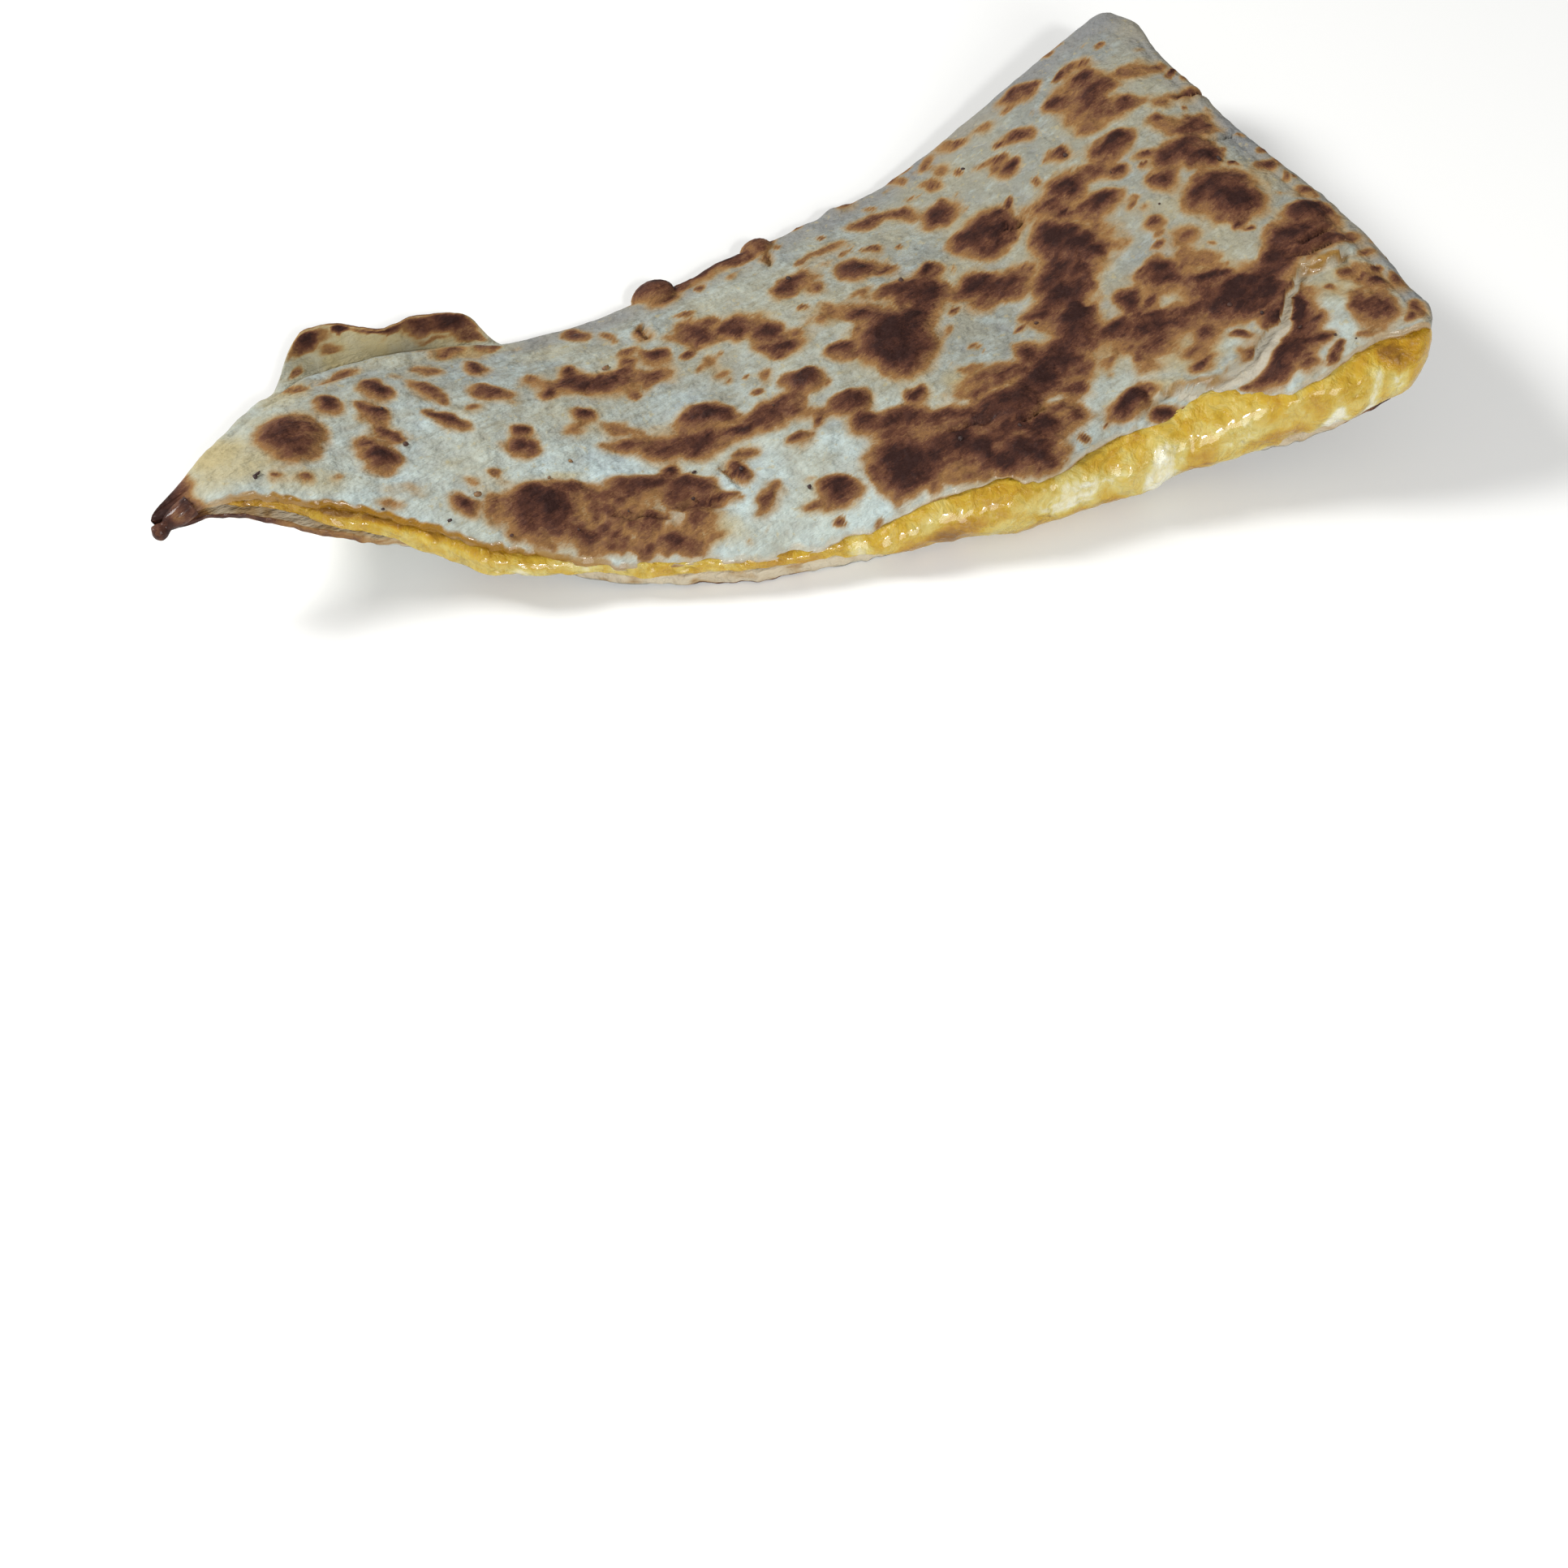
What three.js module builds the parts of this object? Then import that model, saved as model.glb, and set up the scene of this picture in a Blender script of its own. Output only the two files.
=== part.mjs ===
// A wedge of griddled quesadilla, lying flat: one flour tortilla folded round a layer of melted cheese and cut once.
// Millimetres, +Z up. +X runs along the cut from its thin left tip to its thick right corner, and +Y from the cut to
// the folded corner. The origin is on the resting plane, under the middle of the wedge's bounding box.
import * as THREE from "three";

// Driving dimensions.
const TORTILLA_THICKNESS = 2.3;
const THINNEST_LAYER_SHARE = 0.36; // of the wedge's own height, where it is too thin for two full layers
const CLEARANCE = 0.45; // between the cheese and the tortilla round it
const CHEESE_EDGE_MIN = 0.9; // the least height of the cheese
const FOLD_ROUNDNESS = 0.62; // depth of the fold's bend, as a share of the height there
const NOSE_DEPTH = 2.4; // how far back the cheese's rounded front begins

// How finely the surfaces are faceted.
const STATION_BANDS = [
  { to: 0.09, steps: 4 }, // left tip
  { to: 0.27, steps: 10 }, // lower layer's rim
  { to: 0.62, steps: 9 },
  { to: 0.72, steps: 9 }, // folded corner
  { to: 1, steps: 8 },
];
const TOP_STEPS = 7;
const FOLD_STEPS = 8;
const BOTTOM_STEPS = 5;
const NOSE_STEPS = 5;
const CHEESE_STEPS = 5;

// The wedge's plan. The cut runs from the left tip to the right corner.
const cutLine = curveThrough([
  [-88, -18.4],
  [-79, -16.8],
  [-66, -18.8],
  [-44, -24.4],
  [-12, -29.2],
  [16, -26.4],
  [48, -22.4],
  [80, -19.4],
]);
// The back runs from the left tip along the rim and the long fold, round the folded corner and down the short fold.
const backLine = curveThrough([
  [-88.6, -17.2],
  [-83.5, -8.5],
  [-75, 4],
  [-62, 10.8],
  [-40, 16.4],
  [-18, 22.8],
  [8, 34.6],
  [34, 47.4],
  [50, 56.4],
  [56.6, 59],
  [60.2, 55.4],
  [62, 46.5],
  [65, 36.5],
  [70.6, 22],
  [76.8, 6],
  [80.8, -7],
  [82.6, -15.4],
]);

// Heights and reaches at equal steps from the left tip to the right corner.
const cutHeight = profile([4.2, 9.2, 8.8, 7.4, 6.8, 7.2, 9.4, 11.4, 12.2, 12.2, 10.8]);
const coreHeight = profile([4.4, 7.6, 8.6, 8.8, 9.2, 9.8, 10.8, 11.8, 12.2, 11.6, 10.2]);
const foldHeight = profile([4.0, 5.0, 5.6, 6.0, 6.4, 6.8, 7.4, 8.2, 8.8, 9.2, 9.4]);
const topSetback = profile([0.2, 1.0, 0.8, 0.2, 0.2, 0.6, 2.2, 4.0, 3.6, 0.8, 2.2]);
const bottomSetback = profile([0, 0.2, 0.6, 0.4, 0, 0, 0.4, 1.0, 0.8, -2.2, -4.4]);
const cheeseProud = profile([-1.2, -1.0, 0.6, 0.8, 0.7, 1.2, 3.0, 3.6, 3.4, 3.8, 1.6]);

// The lower layer's rim stands out past the upper one's for a stretch of the back, and curls up a little.
const FLAP = { from: 0.116, to: 0.235, ramp: 0.013, reach: [8.2, 5.4], curl: 3.3 };

// The wedge sags between its two raised ends, and rests on the low middle.
const LEFT_SAG = { start: -26, run: 64, rise: 14, power: 1.7 };
const RIGHT_SAG = { start: 28, run: 62, rise: 16.6, power: 1.35, lean: 0.3 };
const WAVES = [
  { height: 0.35, along: 0.11, across: 0.07, phase: 0.6 },
  { height: 0.25, along: -0.17, across: 0.13, phase: 2.1 },
];

const looks = {
  tortilla: { color: 0xcfc4a6, roughness: 0.85, metalness: 0 },
  cheese: { color: 0xe0b040, roughness: 0.35, metalness: 0 },
};

/** A smooth plan curve through points [x, y]. */
function curveThrough(points) {
  const path = points.map(([x, y]) => new THREE.Vector3(x, y, 0));
  return new THREE.CatmullRomCurve3(path, false, "centripetal");
}

/** A smooth function of the share of the way along the cut, through values at equal steps. */
function profile(values) {
  const last = values.length - 1;
  const curve = new THREE.SplineCurve(values.map((v, i) => new THREE.Vector2(i / last, v)));
  return (share) => curve.getPoint(THREE.MathUtils.clamp(share, 0, 1)).y;
}

/** 1 inside the rim's stretch, 0 outside it, with a smooth ramp at each end. */
function flapWeight(share) {
  const rise = THREE.MathUtils.smoothstep(share, FLAP.from - FLAP.ramp, FLAP.from + FLAP.ramp);
  const fall = THREE.MathUtils.smoothstep(share, FLAP.to - FLAP.ramp, FLAP.to + FLAP.ramp);
  return rise * (1 - fall);
}

/** The height of the underside above the resting plane. */
function sag(x, y) {
  const left = Math.max(0, LEFT_SAG.start - x) / LEFT_SAG.run;
  const right = Math.max(0, x + RIGHT_SAG.lean * y - RIGHT_SAG.start) / RIGHT_SAG.run;
  return LEFT_SAG.rise * left ** LEFT_SAG.power + RIGHT_SAG.rise * right ** RIGHT_SAG.power;
}

/** Slow waves of the upper layer. */
function wave(x, y) {
  return WAVES.reduce((sum, w) => sum + w.height * Math.sin(w.along * x + w.across * y + w.phase), 0);
}

/** The section of the wedge at a share of the way along the cut. */
function stationAt(share) {
  const start = cutLine.getPointAt(share);
  const end = backLine.getPointAt(share);
  const across = end.clone().sub(start);
  const depth = across.length();
  across.normalize();
  const fold = foldHeight(share);
  const bend = Math.min(FOLD_ROUNDNESS * fold, 0.45 * depth);
  const layer = Math.min(TORTILLA_THICKNESS, THINNEST_LAYER_SHARE * Math.min(fold, cutHeight(share)));
  return { share, start, across, depth, fold, bend, layer, runEnd: depth - bend };
}

/** The wedge's height at a distance from the cut, before the fold rounds it off. */
function heightAt(station, distance) {
  const t = THREE.MathUtils.clamp(distance / station.runEnd, 0, 1);
  const crown = Math.sin(Math.PI * t) ** 0.8;
  const straight = THREE.MathUtils.lerp(cutHeight(station.share), station.fold, t);
  const core = coreHeight(station.share);
  return straight + Math.max(0, core - straight) * crown * Math.min(1, station.depth / 30);
}

/** A point of the section, at a distance from the cut and a height above the underside, in the wedge's frame. */
function placed(station, distance, height) {
  const x = station.start.x + station.across.x * distance;
  const y = station.start.y + station.across.y * distance;
  const upper = THREE.MathUtils.smoothstep(height, station.layer, 2 * station.layer);
  const lift = wave(x, y) * upper * Math.min(1, station.depth / 30);
  return [x, y, height + lift + sag(x, y)];
}

/** The bend of the fold, from the upper layer to the lower, at an inset from the outer skin. */
function foldPoint(station, step, inset) {
  const angle = (Math.PI * step) / FOLD_STEPS;
  const half = station.fold / 2;
  const radius = Math.max(station.bend - inset, 0.15 * station.bend);
  return {
    distance: station.runEnd + radius * Math.sin(angle),
    height: half + (half - inset) * Math.cos(angle),
  };
}

/** The outer skin where the lower layer's rim stands out past the upper one's. */
function flapPoint(station, step) {
  const lip = station.layer;
  const along = THREE.MathUtils.inverseLerp(FLAP.from, FLAP.to, station.share);
  const reach = THREE.MathUtils.lerp(...FLAP.reach, THREE.MathUtils.clamp(along, 0, 1));
  const tip = station.depth + reach;
  const path = [
    [station.runEnd, station.fold],
    [station.runEnd + 0.8 * station.bend, station.fold * 0.93],
    [station.depth - 0.2, station.fold * 0.6],
    [station.depth + 0.5, lip * 1.15],
    [station.depth + 0.55 * reach, lip + 0.25 * FLAP.curl],
    [tip - 0.4, lip + FLAP.curl * 0.9],
    [tip + 0.5, lip * 0.3 + FLAP.curl],
    [station.depth + 0.5 * reach, 0.2 * FLAP.curl],
    [station.runEnd, 0],
  ];
  const [distance, height] = path[step];
  return { distance, height };
}

/** The tortilla's outer and inner skins at one station, as paired points from the top's cut to the bottom's. */
function tortillaSection(station) {
  const outer = [];
  const inner = [];
  const add = (outerPoint, innerPoint) => {
    outer.push(placed(station, outerPoint.distance, outerPoint.height));
    inner.push(placed(station, innerPoint.distance, innerPoint.height));
  };
  const room = station.runEnd * 0.6;
  const topStart = Math.min(topSetback(station.share), room);
  for (let i = 0; i < TOP_STEPS; i++) {
    const distance = THREE.MathUtils.lerp(topStart, station.runEnd, i / TOP_STEPS);
    const height = heightAt(station, distance);
    add({ distance, height }, { distance, height: height - station.layer });
  }
  const flap = flapWeight(station.share);
  for (let i = 0; i <= FOLD_STEPS; i++) {
    const round = foldPoint(station, i, 0);
    const out = flapPoint(station, i);
    const distance = THREE.MathUtils.lerp(round.distance, out.distance, flap);
    const height = THREE.MathUtils.lerp(round.height, out.height, flap);
    add({ distance, height }, foldPoint(station, i, station.layer));
  }
  const bottomStart = Math.min(bottomSetback(station.share), room);
  for (let i = BOTTOM_STEPS - 1; i >= 0; i--) {
    const distance = THREE.MathUtils.lerp(bottomStart, station.runEnd, i / BOTTOM_STEPS);
    add({ distance, height: 0 }, { distance, height: station.layer });
  }
  return outer.concat(inner.reverse());
}

/** The cheese's outline at one station, round from the back of its top to its nose and back along its underside. */
function cheeseSection(station) {
  const ring = [];
  const floor = station.layer + CLEARANCE;
  const backInset = station.layer + 2 * CLEARANCE;
  const back = Math.max(station.depth - backInset - 0.4 * station.bend, 0.5 * station.depth);
  const front = -Math.min(cheeseProud(station.share), 0.5 * station.depth);
  const neck = Math.min(front + NOSE_DEPTH, back - 0.2);
  const ceiling = (distance) => {
    const open = heightAt(station, Math.max(distance, 0)) - station.layer - CLEARANCE;
    return Math.max(open, floor + CHEESE_EDGE_MIN);
  };
  const backCeiling = Math.max(0.72 * (ceiling(back) - floor) + floor, floor + CHEESE_EDGE_MIN);
  ring.push([back, (floor + backCeiling) / 2]);
  for (let i = 0; i < CHEESE_STEPS; i++) {
    const distance = THREE.MathUtils.lerp(Math.min(back - 0.1, station.runEnd), neck, i / CHEESE_STEPS);
    ring.push([distance, i ? ceiling(distance) : backCeiling]);
  }
  for (let i = 0; i <= NOSE_STEPS; i++) {
    const angle = (Math.PI * i) / NOSE_STEPS;
    const half = (ceiling(neck) - floor) / 2;
    ring.push([neck - (neck - front) * Math.sin(angle), floor + half + half * Math.cos(angle)]);
  }
  for (let i = 1; i < CHEESE_STEPS; i++)
    ring.push([THREE.MathUtils.lerp(neck, back, i / CHEESE_STEPS), floor]);
  return ring.reverse().map(([distance, height]) => placed(station, distance, height));
}

/** A closed mesh through rings of points, one ring at each station, with a cap at each end. */
function loft(rings, cap) {
  const size = rings[0].length;
  const index = [];
  for (let j = 0; j + 1 < rings.length; j++)
    for (let i = 0; i < size; i++) {
      const next = (i + 1) % size;
      const [a, b, c, d] = [j * size + i, j * size + next, (j + 1) * size + next, (j + 1) * size + i];
      index.push(a, d, b, b, d, c);
    }
  const last = (rings.length - 1) * size;
  for (const [a, b, c] of cap(size)) index.push(a, b, c, last + a, last + c, last + b);
  const geometry = new THREE.BufferGeometry();
  geometry.setAttribute("position", new THREE.Float32BufferAttribute(rings.flat(2), 3));
  geometry.setIndex(index);
  geometry.computeVertexNormals();
  return geometry;
}

/** Cap of a ring made of an outer run and, coming back, its paired inner run. */
function pairedCap(size) {
  const faces = [];
  for (let i = 0; i + 1 < size / 2; i++) {
    const back = size - 1 - i;
    faces.push([i, i + 1, back], [i + 1, back - 1, back]);
  }
  return faces;
}

/** Cap of a ring that bulges outwards everywhere. */
function fanCap(size) {
  const faces = [];
  for (let i = 1; i + 1 < size; i++) faces.push([0, i, i + 1]);
  return faces;
}

/** Shares of the cut that carry a section, from 0 to 1. */
function stationShares() {
  const shares = [0];
  let from = 0;
  for (const band of STATION_BANDS) {
    for (let i = 1; i <= band.steps; i++) shares.push(THREE.MathUtils.lerp(from, band.to, i / band.steps));
    from = band.to;
  }
  return shares;
}

/** Sections between two shares of the cut. */
function sections(from, to, section) {
  const inside = stationShares().filter((share) => share > from + 0.01 && share < to - 0.01);
  return [from, ...inside, to].map((share) => section(stationAt(share)));
}

function mesh(name, geometry) {
  const made = new THREE.Mesh(geometry, new THREE.MeshStandardMaterial(looks[name]));
  made.name = name;
  return made;
}

const wedge = new THREE.Group();
wedge.add(mesh("tortilla", loft(sections(0, 1, tortillaSection), pairedCap)));
wedge.add(mesh("cheese", loft(sections(0.035, 0.985, cheeseSection), fanCap)));

// Stand the wedge on the resting plane, with the origin under the middle of its box.
const box = new THREE.Box3().setFromObject(wedge);
const middle = box.getCenter(new THREE.Vector3());
wedge.position.set(-middle.x, -middle.y, -box.min.z);

export default wedge;
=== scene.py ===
"""A wedge of griddled quesadilla: one flour tortilla folded round melted cheese and cut open along one side.

Lengths are in millimetres until a mesh is made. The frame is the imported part's: +X along the cut side,
+Y from the cut side to the folded corner, +Z up.
"""

from __future__ import annotations

import logging
import math
from dataclasses import dataclass, field
from enum import Enum
from typing import Any, Sequence

import bpy
import numpy as np
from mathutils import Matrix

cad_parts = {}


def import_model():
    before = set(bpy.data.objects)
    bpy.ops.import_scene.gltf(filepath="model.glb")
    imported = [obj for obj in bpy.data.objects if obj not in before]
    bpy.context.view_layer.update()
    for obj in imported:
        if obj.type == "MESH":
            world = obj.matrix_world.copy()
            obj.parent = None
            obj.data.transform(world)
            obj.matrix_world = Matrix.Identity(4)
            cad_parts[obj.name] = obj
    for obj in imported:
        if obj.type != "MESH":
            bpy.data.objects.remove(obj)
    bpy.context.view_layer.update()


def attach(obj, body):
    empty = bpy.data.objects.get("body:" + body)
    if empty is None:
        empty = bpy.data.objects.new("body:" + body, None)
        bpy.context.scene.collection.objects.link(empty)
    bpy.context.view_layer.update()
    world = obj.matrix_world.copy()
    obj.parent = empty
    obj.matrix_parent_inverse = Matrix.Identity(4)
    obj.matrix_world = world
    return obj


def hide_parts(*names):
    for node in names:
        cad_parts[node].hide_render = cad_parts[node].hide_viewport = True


log = logging.getLogger("quesadilla")

MM = 0.001
CUT_LENGTH = 171.0
Array = np.ndarray
Socket = bpy.types.NodeSocket
Numbers = tuple[float, ...]
Knots = tuple[tuple[float, float], ...]


# ---- Colours ----


class Tint(Enum):
    """Colours of the food, as screen values from 0 to 255."""

    FLOUR = (178, 193, 192)
    # duller flour; the painted dullness also uses it for painted shade towards the back and the right
    FLOUR_SHADE = (132, 134, 126)
    # torn crumb, and painted shade in the dough's dimples, on the fold and on the underside
    PEWTER = (122, 122, 122)
    CREAM = (168, 154, 112)
    CRUMB = (190, 180, 158)
    OILED = (138, 98, 20)
    HALO = (156, 124, 70)
    TOAST_PALE = (134, 98, 58)
    TOAST_LIGHT = (110, 77, 52)
    TOAST = (92, 58, 41)
    TOAST_DARK = (70, 41, 31)
    CHAR = (46, 26, 22)
    CHEESE_WHITE = (208, 205, 182)
    CHEESE_PALE = (190, 174, 100)
    CHEESE_YELLOW = (180, 148, 44)
    CHEESE_ORANGE = (164, 122, 18)
    # amber cheese, also used for painted shade at the top and bottom of the bulge and at its recessed left
    # end
    CHEESE_AMBER = (126, 86, 20)
    BOARD = (238, 238, 236)

    @property
    def rgba(self) -> tuple[float, float, float, float]:
        """The colour in linear light, with full alpha."""
        r, g, b = (linear_light(v / 255.0) for v in self.value)
        return (r, g, b, 1.0)


def linear_light(screen: float) -> float:
    """Screen brightness turned into linear light."""
    return screen / 12.92 if screen <= 0.04045 else ((screen + 0.055) / 1.055) ** 2.4


# ---- Small mathematics ----


def ease(low: float | Array, high: float | Array, value: float | Array) -> Array:
    """Smooth step from 0 at low to 1 at high.

    Args:
        low: Value that gives 0.
        high: Value that gives 1.
        value: Where to read the step.

    Returns:
        The step, between 0 and 1.
    """
    t = np.clip((value - low) / (high - low), 0.0, 1.0)
    return t * t * (3.0 - 2.0 * t)


def blend(a: float | Array, b: float | Array, weight: float | Array) -> Array:
    """Straight mix of a and b: a at weight 0, b at weight 1."""
    return a + (b - a) * weight


def profile(values: Sequence[float], share: float | Array) -> Array:
    """Smooth curve through values at equal steps.

    Args:
        values: Heights at equal steps from share 0 to share 1.
        share: Where to read the curve.

    Returns:
        The curve's height at each share.
    """
    v = np.asarray(values, dtype=float)
    last = len(v) - 1
    spot = np.clip(share, 0.0, 1.0) * last
    i = np.minimum(spot.astype(int) if isinstance(spot, np.ndarray) else int(spot), last - 1)
    t = spot - i
    before, here = v[np.maximum(i - 1, 0)], v[i]
    ahead, beyond = v[i + 1], v[np.minimum(i + 2, last)]
    return hermite(here, ahead, (ahead - before) / 2.0, (beyond - here) / 2.0, t)


def along_knots(knots: Sequence[tuple[float, float]], share: Array) -> Array:
    """Straight runs between knots.

    Args:
        knots: Share and value of each knot, in order.
        share: Where to read them.

    Returns:
        One value for each share.
    """
    places, values = zip(*knots)
    return np.interp(share, places, values)


def hermite(a: Array, b: Array, slope_a: Array, slope_b: Array, t: Array) -> Array:
    """Cubic from a to b with the slopes given at its ends.

    Args:
        a: Start value.
        b: End value.
        slope_a: Slope at the start.
        slope_b: Slope at the end.
        t: Position from 0 to 1.

    Returns:
        The cubic's value.
    """
    t2, t3 = t * t, t * t * t
    rise = (2 * t3 - 3 * t2 + 1) * a + (-2 * t3 + 3 * t2) * b
    return rise + (t3 - 2 * t2 + t) * slope_a + (t3 - t2) * slope_b


def plan_curve(points: Sequence[tuple[float, float]], share: Array) -> Array:
    """Points along a smooth plan curve, spaced by its own length.

    Args:
        points: Plan points (x, y) that the curve passes through.
        share: Shares of the curve's length, from 0 to 1.

    Returns:
        One (x, y) row for each share.
    """
    p = np.asarray(points, dtype=float)
    p = np.vstack([2 * p[0] - p[1], p, 2 * p[-1] - p[-2]])
    steps = np.linspace(0.0, 1.0, 40, endpoint=False)[:, None]
    runs = []
    for i in range(1, len(p) - 2):
        a, b, c, d = p[i - 1 : i + 3]
        pairs = ((a, b), (b, c), (c, d))
        gap_a, gap_b, gap_c = (max(math.hypot(*(v - u)) ** 0.5, 1e-6) for u, v in pairs)
        slope_b = ((b - a) / gap_a - (c - a) / (gap_a + gap_b) + (c - b) / gap_b) * gap_b
        slope_c = ((c - b) / gap_b - (d - b) / (gap_b + gap_c) + (d - c) / gap_c) * gap_b
        runs.append(hermite(b, c, slope_b, slope_c, steps))
    runs.append(p[-2:-1])
    line = np.vstack(runs)
    length = np.concatenate([[0.0], np.cumsum(np.hypot(*np.diff(line, axis=0).T))])
    at = share * length[-1]
    return np.stack([np.interp(at, length, line[:, 0]), np.interp(at, length, line[:, 1])], axis=-1)


class Grain:
    """Seeded smooth noise over a plane."""

    def __init__(self, seed: int) -> None:
        """Fill the noise's table from a seed."""
        self.table = np.random.default_rng(seed).random((256, 256))

    def at(self, x: Array, y: Array) -> Array:
        """One layer of noise.

        Args:
            x, y: Positions in cells of the noise.

        Returns:
            Values between -1 and 1.
        """
        i, j = np.floor(x).astype(int), np.floor(y).astype(int)
        u, v = x - i, y - j
        u, v = u * u * u * (u * (u * 6 - 15) + 10), v * v * v * (v * (v * 6 - 15) + 10)
        i0, i1, j0, j1 = i & 255, (i + 1) & 255, j & 255, (j + 1) & 255
        low = blend(self.table[i0, j0], self.table[i1, j0], u)
        high = blend(self.table[i0, j1], self.table[i1, j1], u)
        return blend(low, high, v) * 2.0 - 1.0

    def layered(self, x: Array, y: Array, size: float, layers: int = 3) -> Array:
        """Several layers of noise, each half the size and a little over half the height of the last.

        Args:
            x, y: Positions in millimetres.
            size: Size of the largest lumps, in millimetres.
            layers: How many layers to add.

        Returns:
            Values of about -1 to 1.
        """
        total, height, sum_of_heights = np.zeros_like(x, dtype=float), 1.0, 0.0
        for layer in range(layers):
            grain = size / 2**layer
            total += height * self.at(x / grain + 17.3 * layer, y / grain - 9.1 * layer)
            sum_of_heights += height
            height *= 0.55
        return total / sum_of_heights


@dataclass(frozen=True)
class Blot:
    """An oval mark on a surface: where it lies, its size, the turn of its long side and how strong it is."""

    x: float
    y: float
    length: float
    width: float
    turn: float
    strength: float

    def cover(self, x: Array, y: Array, core: float = 0.1, rim: float = 1.42) -> Array:
        """How strongly the mark covers each point.

        Args:
            x, y: Positions in millimetres.
            core: Share of the mark's size where it begins to fade.
            rim: Share of the mark's size where it has gone.

        Returns:
            Cover from 0 to the mark's strength.
        """
        c, s = math.cos(math.radians(self.turn)), math.sin(math.radians(self.turn))
        along = ((x - self.x) * c + (y - self.y) * s) / (self.length / 2)
        across = ((y - self.y) * c - (x - self.x) * s) / (self.width / 2)
        return self.strength * (1.0 - ease(core, rim, np.hypot(along, across)))

    def grown(self, reach: float, shift: float) -> Blot:
        """The same mark, longer and wider by reach and moved by shift along y."""
        length, width = self.length + reach, self.width + reach
        return Blot(self.x, self.y + shift, length, width, self.turn, self.strength)


def blots(rows: Sequence[Numbers]) -> tuple[Blot, ...]:
    """Marks from rows of x, y, length, width, turn and strength; a row of five leaves out its turn of 0."""
    return tuple(Blot(*row) if len(row) == 6 else Blot(*row[:4], 0, row[4]) for row in rows)


# ---- The wedge's form, shared by every piece ----


@dataclass(frozen=True)
class Sections:
    """The wedge's sections at many stations along the cut; each field holds one row for each station."""

    share: Array
    start: Array
    across: Array
    depth: Array
    fold: Array
    bend: Array
    layer: Array
    run_end: Array


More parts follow.
